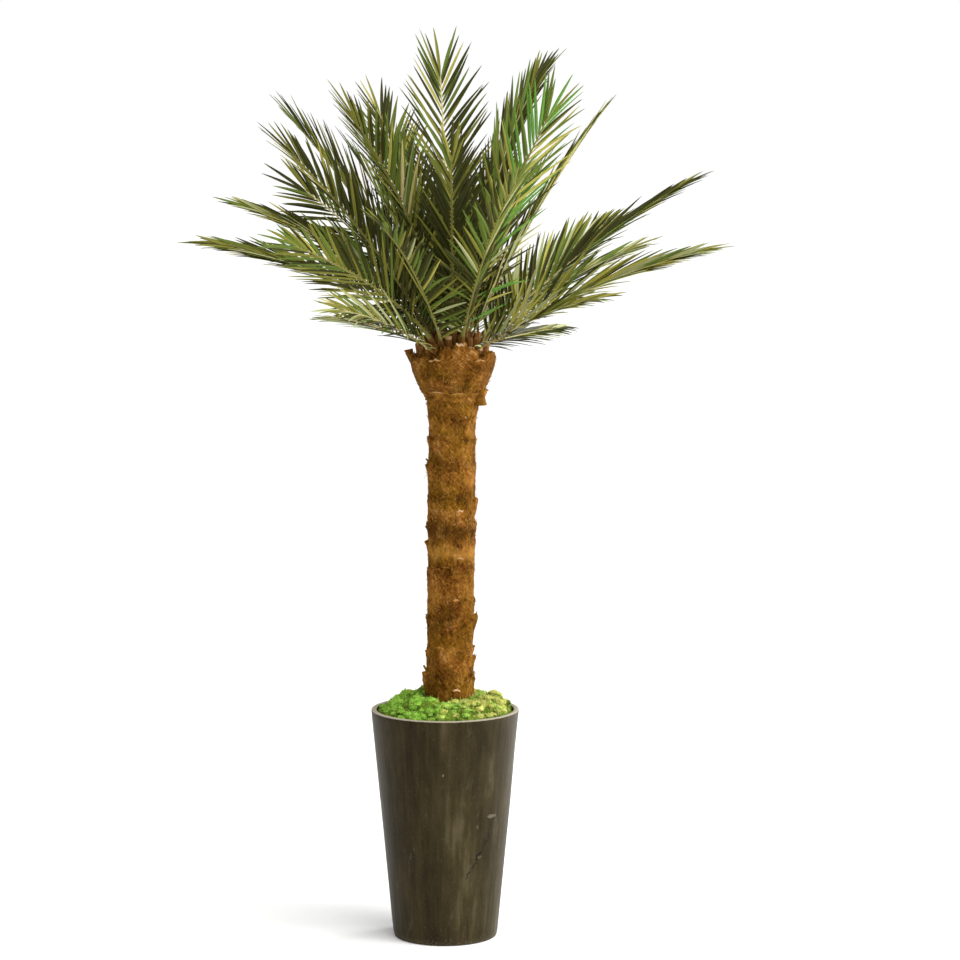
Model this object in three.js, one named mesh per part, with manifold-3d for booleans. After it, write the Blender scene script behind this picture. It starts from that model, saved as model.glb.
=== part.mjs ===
// A potted date palm: a tall tapered pot with moss, a trunk wrapped in palm fibre, a flared head of cut
// leaf stubs, and a round spread of feather-shaped fronds. Millimetres, +Z up, with the origin in the
// middle of the pot's flat underside. The trunk stands a little to the right of the pot's middle.
import * as THREE from "three";
import { mergeVertices } from "three/addons/utils/BufferGeometryUtils.js";
import Module from "manifold-3d";

const wasm = await Module();
wasm.setup();

// Driving dimensions.
const gap = 0.3; // kept between pieces that rest on each other
const pot = { height: 700, rimRadius: 225, footRadius: 158, wall: 17, floor: 28, bevel: 5, sides: 44 };
const fill = { top: 636, sides: 32 };
const moss = { edge: 690, crest: 728, lump: 9, rings: 6, sides: 36, skirt: 8 };
const trunk = { footX: 13, headX: 24, radius: 71, footFlare: 6, lip: 5, lap: 6, sides: 20 };
const wrapTops = [795, 890, 981, 1030, 1128, 1207, 1271, 1347, 1441, 1527]; // heights of the lapped edges
const head = { foot: 1650, rim: 1784, neckRadius: 80, rimRadius: 130, bow: 1.9, dome: 42, steps: 5, sides: 28 };
const flap = { reach: 108, width: 62, height: 34, drop: 10, heading: -12 };
const stub = { width: 34, thickness: 17, height: 92, splay: 15, taper: 1.35 };
const stubRings = [
  { count: 13, radius: 111, top: 1806, turn: 8 },
  { count: 7, radius: 72, top: 1832, turn: 30 },
];
const frondForm = {
  sink: 34, // how deep a stalk is set into the head
  stalkShare: 0.15, // of the whole length, bare below the first leaflets
  terminal: 150, // the last leaflet, which carries the frond to its full length
  terminalWidth: 15,
  stalk: { width: 19, thickness: 11 },
  throat: { width: 9.5, thickness: 7.5 },
  tip: { width: 3.4, thickness: 2.8 },
  pitch: 58, // from one pair of leaflets to the next
  rootShare: 0.42, // of the pitch, taken by a leaflet's root
};
const leafletForm = {
  longest: 240, // on a frond of the full length
  fullFrond: 960,
  shortShare: 0.45, // of that length, kept however short the frond
  width: 30,
  crowding: 0.8, // of the room between neighbours, which a leaflet may fill
  leastAngle: 13,
  thickness: 2.6,
  belly: 0.34, // of its length, where it is widest
};

// Each frond: which way it heads (0 is +X, 90 is +Y), how steeply it leaves the head, by how much it bends
// down on the way, where it bends (above 1 mostly near the tip, below 1 mostly near the head), its length,
// how far its blade is rolled about its rib, and how wide its leaflets are spread at its foot (spread) and
// at its tip (close), where a small share leaves them folded forward along the rib.
const fronds = [
  { heading: 98, rise: 79, droop: 16, bend: 1.05, length: 980, roll: 0, spread: 1.15, close: 1.1 },
  { heading: 51, rise: 74, droop: 38, bend: 2.2, length: 1000, roll: 20, spread: 0.5, close: 0.35 },
  { heading: 310, rise: 68, droop: 20, bend: 1.1, length: 920, roll: -30, spread: 1, close: 0.9 },
  { heading: 339, rise: 63, droop: 12, bend: 1.4, length: 860, roll: 25, spread: 0.35, close: 0.25 },
  { heading: 18, rise: 42, droop: 16, bend: 1.2, length: 910, roll: 20, spread: 0.85, close: 0.35 },
  { heading: 332, rise: 34, droop: 22, bend: 0.8, length: 870, roll: 40, spread: 0.8, close: 0.4 },
  { heading: 38, rise: 31, droop: 18, bend: 1.25, length: 790, roll: 20, spread: 0.8, close: 0.45 },
  { heading: 52, rise: 32, droop: 14, bend: 1.2, length: 900, roll: 20, spread: 0.75, close: 0.6 },
  { heading: 60, rise: 5, droop: 6, bend: 1.2, length: 670, roll: 40, spread: 0.42, close: 0.3 },
  { heading: 308, rise: 23, droop: 16, bend: 1.4, length: 700, roll: 40, spread: 0.75, close: 0.45 },
  { heading: 219, rise: 87, droop: 40, bend: 0.55, length: 880, roll: 10, spread: 1, close: 0.9 },
  { heading: 116, rise: 59, droop: 10, bend: 1.2, length: 970, roll: 0, spread: 1, close: 0.95 },
  { heading: 146, rise: 62, droop: 22, bend: 0.8, length: 960, roll: 40, spread: 0.95, close: 0.8 },
  { heading: 212, rise: 58, droop: 20, bend: 1, length: 880, roll: 10, spread: 1, close: 0.8 },
  { heading: 164, rise: 77, droop: 45, bend: 0.4, length: 760, roll: -75, spread: 1.2, close: 1.05 },
  { heading: 191, rise: 83, droop: 66, bend: 0.35, length: 800, roll: -50, spread: 0.6, close: 0.35 },
  { heading: 205, rise: 63, droop: 54, bend: 0.35, length: 860, roll: -50, spread: 0.55, close: 0.35 },
  { heading: 228, rise: 56, droop: 42, bend: 0.4, length: 810, roll: 50, spread: 1.15, close: 0.8 },
  { heading: 238, rise: 24, droop: 22, bend: 1.25, length: 640, roll: -45, spread: 0.8, close: 0.6 },
  { heading: 124, rise: 10, droop: 12, bend: 1.2, length: 690, roll: -10, spread: 0.9, close: 0.7 },
  { heading: 270, rise: 68, droop: 26, bend: 1.2, length: 800, roll: 0, spread: 1, close: 0.8 },
  { heading: 290, rise: 58, droop: 32, bend: 1.2, length: 820, roll: 25, spread: 1, close: 0.8 },
  { heading: 250, rise: 50, droop: 36, bend: 1.2, length: 760, roll: -30, spread: 1, close: 0.8 },
  { heading: 88, rise: 46, droop: 26, bend: 1.2, length: 900, roll: 0, spread: 1, close: 0.8 },
  { heading: 76, rise: 25, droop: 30, bend: 1.2, length: 880, roll: 0, spread: 1, close: 0.8 },
  { heading: 104, rise: 24, droop: 30, bend: 1.2, length: 880, roll: 0, spread: 1, close: 0.8 },
  { heading: 278, rise: 76, droop: 18, bend: 1.2, length: 500, roll: 0, spread: 0.8, close: 0.7 },
  { heading: 182, rise: 75, droop: 24, bend: 1.2, length: 700, roll: 0, spread: 0.9, close: 0.8 },
  { heading: 8, rise: 73, droop: 18, bend: 1.2, length: 640, roll: 0, spread: 0.9, close: 0.8 },
  { heading: 148, rise: 76, droop: 12, bend: 1.2, length: 740, roll: 0, spread: 1, close: 0.9 },
  { heading: 68, rise: 54, droop: 22, bend: 1.2, length: 820, roll: 0, spread: 1, close: 0.8 },
];

const finishes = {
  pot: new THREE.MeshStandardMaterial({ color: 0x4b4337, roughness: 0.62, metalness: 0, flatShading: true }),
  fill: new THREE.MeshStandardMaterial({ color: 0x6d675e, roughness: 0.95, metalness: 0, flatShading: true }),
  moss: new THREE.MeshStandardMaterial({ color: 0x7d9a33, roughness: 0.95, metalness: 0, flatShading: true }),
  fibre: new THREE.MeshStandardMaterial({ color: 0x7c5126, roughness: 0.9, metalness: 0, flatShading: true }),
  frond: new THREE.MeshStandardMaterial({ color: 0x55692c, roughness: 0.55, metalness: 0, flatShading: true }),
};

const radians = THREE.MathUtils.degToRad;
const smooth = (t) => THREE.MathUtils.smoothstep(t, 0, 1);
const mix = THREE.MathUtils.lerp;
const at = (point, ...steps) => steps.reduce((p, [axis, by]) => p.addScaledVector(axis, by), point.clone());

// A repeatable number from 0 to 1 for each seed.
function chance(seed) {
  const value = Math.sin(seed * 12.9898) * 43758.5453;
  return value - Math.floor(value);
}

// A closed three.js geometry as a solid that can be joined and cut.
function solidOf(geometry) {
  const bare = geometry.clone();
  bare.deleteAttribute("normal");
  bare.deleteAttribute("uv");
  const merged = mergeVertices(bare, 1e-3);
  const corners = merged.index.array;
  const triVerts = [];
  for (let i = 0; i < corners.length; i += 3) {
    const [a, b, c] = corners.slice(i, i + 3);
    if (a !== b && b !== c && c !== a) triVerts.push(a, b, c);
  }
  return new wasm.Manifold(
    new wasm.Mesh({
      numProp: 3,
      vertProperties: new Float32Array(merged.attributes.position.array),
      triVerts: new Uint32Array(triVerts),
    }),
  );
}

function geometryOf(solid) {
  const { vertProperties, triVerts } = solid.getMesh();
  return new THREE.BufferGeometry()
    .setAttribute("position", new THREE.BufferAttribute(new Float32Array(vertProperties), 3))
    .setIndex(new THREE.BufferAttribute(new Uint32Array(triVerts), 1));
}

function named(name, solid, finish) {
  const mesh = new THREE.Mesh(geometryOf(solid), finish);
  mesh.name = name;
  return mesh;
}

// A profile of [radius, height] turned about +Z. warp may move each point, given its angle and height.
function turned(profile, sides, warp = null) {
  const points = profile.map(([radius, height]) => new THREE.Vector2(radius, height));
  const geometry = new THREE.LatheGeometry(points, sides).rotateX(Math.PI / 2);
  const position = geometry.attributes.position;
  const point = new THREE.Vector3();
  for (let i = 0; warp && i < position.count; i++) {
    point.fromBufferAttribute(position, i);
    warp(point, Math.atan2(point.y, point.x));
    position.setXYZ(i, point.x, point.y, point.z);
  }
  return solidOf(geometry);
}

// ---- Pot, filling and moss.

const potOuter = (z) => mix(pot.footRadius, pot.rimRadius, z / pot.height);
const potInner = (z) => potOuter(z) - pot.wall;

function makePot() {
  const { height, bevel, floor } = pot;
  return turned(
    [
      [0, 0],
      [potOuter(0) - bevel, 0],
      [potOuter(bevel), bevel],
      [potOuter(height - bevel), height - bevel],
      [potOuter(height) - bevel, height],
      [potInner(height) + bevel, height],
      [potInner(height - bevel), height - bevel],
      [potInner(floor), floor],
      [0, floor],
    ],
    pot.sides,
  );
}

function makeFill() {
  const low = pot.floor + gap;
  const slack = gap + 1;
  return turned(
    [
      [0, low],
      [potInner(low) - slack, low],
      [potInner(fill.top) - slack, fill.top],
      [0, fill.top],
    ],
    fill.sides,
  );
}

// Lumps that repeat round the trunk, so that the bed of moss closes on itself.
const mossLump = (angle, ring) =>
  moss.lump * (Math.sin(5 * angle + ring * 1.7) + 0.7 * Math.sin(11 * angle - ring * 2.3)) * 0.6;

function makeMoss(hole) {
  const low = fill.top + gap;
  const outer = (z) => potInner(z) - moss.skirt;
  const profile = [
    [0, low],
    [outer(low), low],
    [outer(moss.edge), moss.edge - 8],
  ];
  for (let ring = 1; ring < moss.rings; ring++) {
    const share = ring / moss.rings;
    profile.push([outer(moss.edge) * (1 - share), mix(moss.edge, moss.crest, smooth(share * 1.3))]);
  }
  profile.push([0, moss.crest]);
  const bed = turned(profile, moss.sides, (point, angle) => {
    const radius = Math.hypot(point.x, point.y);
    if (point.z > low + 1 && radius > 1) point.z += mossLump(angle, radius / 30);
  });
  return bed.subtract(hole);
}

// ---- Trunk: rings of fibre matting, each lapped over the one above it with its top edge turned out.

const trunkX = (z) => mix(trunk.footX, trunk.headX, (z - fill.top) / (head.foot - fill.top));

function makeTrunk(grow = 0) {
  const low = fill.top + gap;
  const high = head.foot - gap;
  const profile = [[0, low - grow]];
  const tops = [...wrapTops, high];
  tops.forEach((top, wrap) => {
    const foot = wrap === 0 ? low - grow : tops[wrap - 1] + trunk.lap;
    const flare = trunk.footFlare * Math.exp((low - foot) / 90);
    const radius = trunk.radius + flare + grow + 2 * (chance(wrap + 1) - 0.5);
    profile.push([radius, foot], [radius + trunk.lip, top + grow]);
  });
  profile.push([0, high + grow]);
  return turned(profile, trunk.sides, (point, angle) => {
    const swell = 1 + 0.018 * Math.sin(3 * angle + point.z / 41) + 0.012 * Math.sin(7 * angle - point.z / 23);
    point.x = point.x * swell + trunkX(point.z);
    point.y *= swell;
  });
}

// ---- Head: a flare of fibre with a low dome on top, and cut leaf stubs standing round its rim.

const domeHeight = (radius) => head.rim + head.dome * (1 - (radius / head.rimRadius) ** 2);

function makeFlare(grow = 0) {
  const low = head.foot - grow;
  const profile = [[0, low]];
  for (let step = 0; step <= head.steps; step++) {
    const share = step / head.steps;
    const radius = mix(head.neckRadius, head.rimRadius, 1 - (1 - share) ** head.bow);
    profile.push([radius + grow, mix(low, head.rim, share)]);
  }
  profile.push([head.rimRadius * 0.93 + grow, domeHeight(head.rimRadius * 0.93) + grow]);
  profile.push([head.rimRadius * 0.48 + grow, domeHeight(head.rimRadius * 0.48) + grow], [0, domeHeight(0) + grow]);
  return turned(profile, head.sides, (point) => {
    point.x += trunk.headX;
  });
}

// A torn end of the topmost matting that sticks out under the flare.
function makeFlap(grow = 0) {
  const body = new THREE.CylinderGeometry(flap.width * 0.36, flap.width * 0.62, flap.reach, 4);
  body.rotateY(Math.PI / 4).rotateZ(-Math.PI / 2);
  body.scale(1, 1, flap.height / flap.width).translate(flap.reach / 2, 0, 0);
  body.rotateY(radians(flap.drop)).rotateZ(radians(flap.heading));
  body.translate(trunk.headX, 0, head.foot + flap.height * 0.55 + grow);
  return solidOf(body);
}

function makeStub(ring, number, grow = 0) {
  const top = ring.top + 16 * (chance(number * 3.7 + ring.radius) - 0.5);
  const round = stub.width / Math.SQRT2;
  const body = new THREE.CylinderGeometry(round + grow, round * stub.taper + grow, stub.height + 2 * grow, 4);
  body.rotateY(Math.PI / 4).rotateX(Math.PI / 2);
  body.scale((stub.thickness + 2 * grow) / stub.width, 1, 1).translate(0, 0, -stub.height / 2);
  body.rotateY(radians(stub.splay * (ring.radius / head.rimRadius)));
  body.translate(ring.radius, 0, top);
  body.rotateZ(radians((360 * number) / ring.count + ring.turn + 7 * (chance(number + ring.radius) - 0.5)));
  body.translate(trunk.headX, 0, 0);
  return solidOf(body);
}

// The flare with every stub that no frond's stalk passes through.
function makeHead(ribs) {
  const trunkRoom = makeTrunk(gap);
  let solid = makeFlare().add(makeFlap().subtract(trunkRoom));
  let grown = makeFlare(gap).add(makeFlap(gap));
  for (const ring of stubRings) {
    for (let number = 0; number < ring.count; number++) {
      const wide = makeStub(ring, number, 1);
      if (ribs.some((rib) => touches(rib, wide))) continue;
      solid = solid.add(makeStub(ring, number));
      grown = grown.add(makeStub(ring, number, gap));
    }
  }
  return { solid, grown };
}

// ---- Fronds.

function touches(a, b, allowed = 0) {
  const [p, q] = [a.boundingBox(), b.boundingBox()];
  for (let axis = 0; axis < 3; axis++) {
    if (p.min[axis] > q.max[axis] || q.min[axis] > p.max[axis]) return false;
  }
  return a.intersect(b).volume() > allowed;
}

// The place on the rib, and the directions along it, across the blade and out of its upper face, at each
// of many even steps from the stalk's foot to the end of the terminal leaflet.
function spine(frond) {
  const steps = 60;
  const outward = new THREE.Vector3(Math.cos(radians(frond.heading)), Math.sin(radians(frond.heading)), 0);
  const up = new THREE.Vector3(0, 0, 1);
  const lift = frond.rise - 0.45 * frond.droop;
  const seat = mix(116, 15, THREE.MathUtils.clamp((lift - 10) / 75, 0, 1));
  const start = at(new THREE.Vector3(trunk.headX, 0, domeHeight(seat)), [outward, seat]);
  const frame = (share) => {
    const pitch = radians(frond.rise - frond.droop * Math.max(share, 0) ** frond.bend);
    const along = at(new THREE.Vector3(), [outward, Math.cos(pitch)], [up, Math.sin(pitch)]);
    const face = at(new THREE.Vector3(), [outward, -Math.sin(pitch)], [up, Math.cos(pitch)]);
    const across = face.clone().cross(along).applyAxisAngle(along, radians(frond.roll));
    return { along, across, face: along.clone().cross(across) };
  };
  const places = [start];
  for (let i = 0; i < steps; i++) {
    places.push(at(places[i], [frame((i + 0.5) / steps).along, frond.length / steps]));
  }
  return (share) => {
    const spot = THREE.MathUtils.clamp(share, 0, 1) * steps;
    const i = Math.min(Math.floor(spot), steps - 1);
    const point = places[i].clone().lerp(places[i + 1], spot - i);
    return { point, ...frame(share) };
  };
}

// A leaflet's share of the longest one's length, its angle to the rib and its lift out of the blade's plane,
// u of the way up the blade.
const leafletLength = (u) => (0.5 + 0.5 * smooth(u / 0.28)) * (1 - 0.38 * smooth((u - 0.5) / 0.5));
const leafletAngle = (u) => 56 - 22 * smooth(u / 0.35) - 15 * smooth((u - 0.7) / 0.3);
const leafletLift = (u) => 30 - 10 * u;

// Four corners of a flat bar's section: left and right of the rib, on its upper and under faces.
function barSection({ point, across, face }, width, thickness) {
  const corner = (side, level) => at(point, [across, (side * width) / 2], [face, (level * thickness) / 2]);
  return [corner(1, 1), corner(-1, 1), corner(-1, -1), corner(1, -1)];
}

function ribSection(place, share) {
  const { stalkShare, stalk, throat, tip, terminal } = frondForm;
  const low = smooth(share / stalkShare);
  const high = THREE.MathUtils.clamp((share - stalkShare) / (1 - stalkShare), 0, 1);
  const width = share < stalkShare ? mix(stalk.width, throat.width, low) : mix(throat.width, tip.width, high);
  const thickness =
    share < stalkShare ? mix(stalk.thickness, throat.thickness, low) : mix(throat.thickness, tip.thickness, high);
  return barSection(place(share), width, thickness);
}

// A mesh that is put together from corners, as four-cornered and three-cornered faces.
function facesToSolid(faces) {
  const corners = faces.flatMap((face) =>
    face.length === 4 ? [face[0], face[1], face[2], face[0], face[2], face[3]] : face,
  );
  return solidOf(new THREE.BufferGeometry().setFromPoints(corners));
}

// The sides of a leaflet that grows out of a four-cornered root to a belly and a pointed tip.
function bladeFaces(root, belly, tip) {
  return root.flatMap((corner, i) => {
    const next = (i + 1) % 4;
    return [
      [corner, root[next], belly[next], belly[i]],
      [belly[i], belly[next], tip],
    ];
  });
}

// How many pairs of leaflets a frond carries, and the step between them.
function leafletRow(frond) {
  const room = frond.length * (1 - frondForm.stalkShare) - frondForm.terminal;
  const pairs = Math.round(room / frondForm.pitch);
  return { pairs, step: room / pairs };
}

// One leaflet on the left (side 1) or right (side -1) of the rib, from the root that the rib leaves open.
// seed varies it, share shortens it and turn lifts it further out of the blade.
function leaflet(frond, root, place, { side, u, seed, share, turn }) {
  const { longest, fullFrond, shortShare, width, crowding, leastAngle, thickness, belly } = leafletForm;
  const { along, across, face } = place;
  const size = mix(shortShare, 1, frond.length / fullFrond);
  const length = longest * size * leafletLength(u) * share * mix(0.94, 1.06, chance(seed));
  const slant = mix(frond.spread, frond.close, smooth(u)) * leafletAngle(u) + 5 * (chance(seed + 0.5) - 0.5);
  const angle = radians(Math.max(slant, leastAngle));
  const lift = radians(leafletLift(u) + turn);
  const broadest = Math.min(width, crowding * leafletRow(frond).step * Math.sin(angle));
  const out = at(new THREE.Vector3(), [across, side * Math.cos(lift)], [face, Math.sin(lift)]);
  const ahead = at(new THREE.Vector3(), [along, Math.cos(angle)], [out, Math.sin(angle)]);
  const broad = at(along, [ahead, -along.dot(ahead)]).normalize();
  const thick = broad.clone().cross(ahead).multiplyScalar(side);
  const middle = root.reduce((sum, corner) => sum.add(corner), new THREE.Vector3()).divideScalar(4);
  const centre = at(middle, [ahead, length * belly]);
  const corner = (back, level) => at(centre, [broad, (back * broadest) / 2], [thick, (level * thickness) / 2]);
  const section =
    side > 0
      ? [corner(-1, -1), corner(-1, 1), corner(1, 1), corner(1, -1)]
      : [corner(-1, 1), corner(-1, -1), corner(1, -1), corner(1, 1)];
  return bladeFaces(root, section, at(middle, [ahead, length]));
}

// The rib's stations: a few along the bare stalk, then two for each pair of leaflets.
function stations(frond) {
  const { sink, stalkShare, terminal, rootShare } = frondForm;
  const { pairs, step } = leafletRow(frond);
  const list = [-sink / frond.length, 0.05, 0.1];
  for (let pair = 0; pair < pairs; pair++) {
    const share = stalkShare + (pair * step) / frond.length;
    list.push(share, share + (step * rootShare) / frond.length);
  }
  return [...list, 1 - terminal / frond.length];
}

function makeFrame(frond) {
  const place = spine(frond);
  const sunk = (share) => {
    const spot = place(share);
    return share < 0 ? { ...spot, point: at(spot.point, [spot.along, share * frond.length]) } : spot;
  };
  const shares = stations(frond);
  const sections = shares.map((share) => ribSection(sunk, share));
  return { frond, place, shares, sections, rib: makeRib(sections) };
}

function ribCaps(sections) {
  const first = sections[0];
  const last = sections[sections.length - 1];
  return { foot: [first[0], first[3], first[2], first[1]], end: last };
}

// The rib alone, as a closed bar.
function makeRib(sections) {
  const { foot, end } = ribCaps(sections);
  const faces = [foot, end];
  for (let i = 1; i < sections.length; i++) {
    const [a, b] = [sections[i - 1], sections[i]];
    for (let k = 0; k < 4; k++) faces.push([a[k], a[(k + 1) % 4], b[(k + 1) % 4], b[k]]);
  }
  return facesToSolid(faces);
}

// Rib, leaflets and terminal leaflet as one closed blade, cut to the rib between its leaflets. A leaflet
// that meets another frond is turned or shortened, and left out if that isn't enough.
function makeFrond(frame, number, obstacles) {
  const { frond, place, shares, sections } = frame;
  const { foot, end } = ribCaps(sections);
  const { pairs } = leafletRow(frond);
  const firstPair = shares.length - 1 - 2 * pairs;
  const faces = [foot];
  const grown = [];
  for (let i = 1; i < sections.length; i++) {
    const [a, b] = [sections[i - 1], sections[i]];
    faces.push([a[0], a[1], b[1], b[0]], [a[2], a[3], b[3], b[2]]);
    const pair = (i - 1 - firstPair) / 2;
    for (const side of [1, -1]) {
      const root = side > 0 ? [a[3], a[0], b[0], b[3]] : [a[1], a[2], b[2], b[1]];
      const isRoot = pair >= 0 && Number.isInteger(pair);
      const form = { side, u: pair / (pairs - 1), seed: number * 61 + pair * 2 + (side > 0 ? 0 : 1) };
      const near = [...obstacles, ...grown];
      const blade = isRoot ? fitLeaflet(frame, root, place(shares[i]), form, near) : null;
      if (blade) grown.push(blade.solid);
      faces.push(...(blade ? blade.faces : [root]));
    }
  }
  faces.push(...terminalFaces(end, place));
  return { solid: facesToSolid(faces), grown };
}

const shorterFirst = [1, 0.82, 0.66, 0.5];
const turns = [0, 14, -14, -28];

function fitLeaflet({ frond, rib }, root, place, form, obstacles) {
  for (const share of shorterFirst) {
    for (const turn of turns) {
      const faces = leaflet(frond, root, place, { ...form, share, turn });
      const solid = facesToSolid([[root[3], root[2], root[1], root[0]], ...faces]);
      const clear = !obstacles.some((other) => touches(other, solid)) && !touches(rib, solid, 0.5);
      if (clear) return { faces, solid };
    }
  }
  return null;
}

function terminalFaces(end, place) {
  const { point, along, across, face } = place(1);
  const middle = end.reduce((sum, corner) => sum.add(corner), new THREE.Vector3()).divideScalar(4);
  const centre = at(middle, [along, frondForm.terminal * leafletForm.belly]);
  const belly = barSection({ point: centre, across, face }, frondForm.terminalWidth, leafletForm.thickness);
  return bladeFaces(end, belly, point);
}

function makeFronds(headGrown, frames) {
  const ribs = frames.map(({ rib }) => rib);
  const leaves = frames.map(() => []);
  return frames.map((frame, number) => {
    const others = (list) => list.filter((_, i) => i !== number);
    const obstacles = [...others(ribs), ...others(leaves).flat(), headGrown];
    const { solid, grown } = makeFrond(frame, number, obstacles);
    leaves[number] = grown;
    return solid.subtract(headGrown);
  });
}

// ---- The whole plant.

function makePlant() {
  const plant = new THREE.Group();
  plant.add(named("pot", makePot(), finishes.pot));
  plant.add(named("pot_filling", makeFill(), finishes.fill));
  plant.add(named("moss", makeMoss(makeTrunk(gap)), finishes.moss));
  plant.add(named("trunk", makeTrunk(), finishes.fibre));

  const frames = fronds.map(makeFrame);
  const top = makeHead(frames.map(({ rib }) => rib));
  plant.add(named("head", top.solid, finishes.fibre));
  makeFronds(top.grown, frames).forEach((solid, i) => {
    plant.add(named(`frond_${String(i + 1).padStart(2, "0")}`, solid, finishes.frond));
  });
  return plant;
}

export default makePlant();
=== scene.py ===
import math

import bpy
import numpy as np
from mathutils import Euler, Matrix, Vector


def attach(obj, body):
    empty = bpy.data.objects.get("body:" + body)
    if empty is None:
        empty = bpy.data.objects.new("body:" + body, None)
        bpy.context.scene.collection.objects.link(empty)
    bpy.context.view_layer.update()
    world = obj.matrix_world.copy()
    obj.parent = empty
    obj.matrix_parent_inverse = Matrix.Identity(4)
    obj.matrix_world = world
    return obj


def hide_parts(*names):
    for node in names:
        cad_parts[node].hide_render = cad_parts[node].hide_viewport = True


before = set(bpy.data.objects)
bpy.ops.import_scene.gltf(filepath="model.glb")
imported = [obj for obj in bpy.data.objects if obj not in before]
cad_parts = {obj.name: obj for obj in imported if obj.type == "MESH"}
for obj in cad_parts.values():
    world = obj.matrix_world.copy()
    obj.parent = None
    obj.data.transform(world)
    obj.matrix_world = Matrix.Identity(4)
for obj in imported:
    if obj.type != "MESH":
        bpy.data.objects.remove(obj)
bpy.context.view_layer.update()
print("frame loaded:", len(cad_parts), "nodes")


# helpers for meshes

def deselectAll():
    if bpy.context.object and bpy.context.object.mode != "OBJECT":
        bpy.ops.object.mode_set(mode="OBJECT")
    bpy.ops.object.select_all(action="DESELECT")


def activate(piece):
    deselectAll()
    piece.select_set(True)
    bpy.context.view_layer.objects.active = piece


def coordinates(piece):
    flat = np.empty(len(piece.data.vertices) * 3)
    piece.data.vertices.foreach_get("co", flat)
    return flat.reshape(-1, 3)


def setCoordinates(piece, points):
    piece.data.vertices.foreach_set("co", np.ascontiguousarray(points, dtype=float).ravel())
    piece.data.update()


def setShade(piece, values):
    # a number on each vertex that the piece's own material reads
    layer = piece.data.attributes.new("shade", "FLOAT", "POINT")
    layer.data.foreach_set("value", np.clip(values, 0, 1).astype(np.float32))


def shadeSmooth(piece, degrees=None):
    # smooth all over, or only across edges flatter than so many degrees
    activate(piece)
    if degrees is None:
        bpy.ops.object.shade_smooth()
    else:
        bpy.ops.object.shade_smooth_by_angle(angle=math.radians(degrees))


def rollRing(name, around, rows):
    # an upright cylinder whose side is cut into rows, ready for each row to be set to a profile
    deselectAll()
    bpy.ops.mesh.primitive_cylinder_add(vertices=around, radius=1, depth=1, location=(0, 0, 0.5))
    piece = bpy.context.object
    piece.name = name
    piece.data.name = name
    bpy.ops.object.transform_apply(location=True, rotation=True, scale=True)
    bpy.ops.object.mode_set(mode="EDIT")
    bpy.ops.mesh.select_mode(type="EDGE")
    bpy.ops.mesh.select_all(action="DESELECT")
    bpy.ops.object.mode_set(mode="OBJECT")
    heights = coordinates(piece)[:, 2]
    for edge in piece.data.edges:
        a, b = edge.vertices
        edge.select = bool(abs(heights[a] - heights[b]) > 0.5)
    bpy.ops.object.mode_set(mode="EDIT")
    bpy.ops.mesh.subdivide(number_cuts=rows - 2, quadcorner="INNERVERT")
    bpy.ops.object.mode_set(mode="OBJECT")
    return piece


def rowAndAngle(piece, rows):
    # the row and the angle of each vertex of a ring that rollRing has made
    points = coordinates(piece)
    row = np.rint(points[:, 2] * (rows - 1)).astype(int)
    return row, np.arctan2(points[:, 1], points[:, 0])


def onRing(middle, angle, radius, height):
    # points round an upright axis that stands at x = middle
    return np.stack([middle + np.cos(angle) * radius, np.sin(angle) * radius, height], axis=1)


def lineReach(line):
    # how far along a line each of its points lies
    return np.concatenate([[0], np.cumsum(np.linalg.norm(np.diff(line, axis=0), axis=1))])


def pointsAlong(line, stations):
    # points so far along a line of (radius, height) corners
    reach = lineReach(line)
    return np.stack([np.interp(stations, reach, line[:, k]) for k in (0, 1)], axis=1)


def meshFrom(name, points, faces, slots=None, materials=()):
    mesh = bpy.data.meshes.new(name)
    mesh.from_pydata(np.asarray(points).tolist(), [], faces)
    for material in materials:
        mesh.materials.append(material)
    if slots is not None:
        mesh.polygons.foreach_set("material_index", np.asarray(slots, dtype=np.int32))
    mesh.update()
    piece = bpy.data.objects.new(name, mesh)
    bpy.context.collection.objects.link(piece)
    return piece


def joinPieces(name, pieces):
    deselectAll()
    for piece in pieces:
        piece.select_set(True)
    bpy.context.view_layer.objects.active = pieces[0]
    bpy.ops.object.join()
    joined = bpy.context.object
    joined.name = name
    joined.data.name = name
    return joined


def softNoise(points, scale, seed):
    # smooth noise from -1 to 1 on a lattice of random numbers
    lattice = np.random.default_rng(seed).uniform(-1, 1, (32, 32, 32))
    spots = np.asarray(points, dtype=float) * scale
    cell = np.floor(spots).astype(int)
    part = spots - cell
    part = part * part * (3 - 2 * part)
    total = 0
    for corner in np.ndindex(2, 2, 2):
        weight = 1
        for axis, far in enumerate(corner):
            weight = weight * (part[:, axis] if far else 1 - part[:, axis])
        x, y, z = ((cell + np.array(corner)) & 31).T
        total = total + weight * lattice[x, y, z]
    return total


def ringNoise(angle, height, around, upward, seed, twist=0.0):
    # noise that closes on itself round a trunk; twist leans its streaks
    return softNoise(onRing(0, angle + twist * height, around, height * upward), 1, seed)


def ringRelief(angle, height, layers):
    # several such noises added up; a layer gives its depth, then the numbers that ringNoise takes
    return sum(depth * ringNoise(angle, height, *rest) for depth, *rest in layers)


def smoothStep(t):
    t = np.clip(t, 0, 1)
    return t * t * (3 - 2 * t)


def finishPiece(piece, slotName, *nodes):
    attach(piece, "root")
    if nodes:
        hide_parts(*nodes)


# helpers for materials

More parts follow.
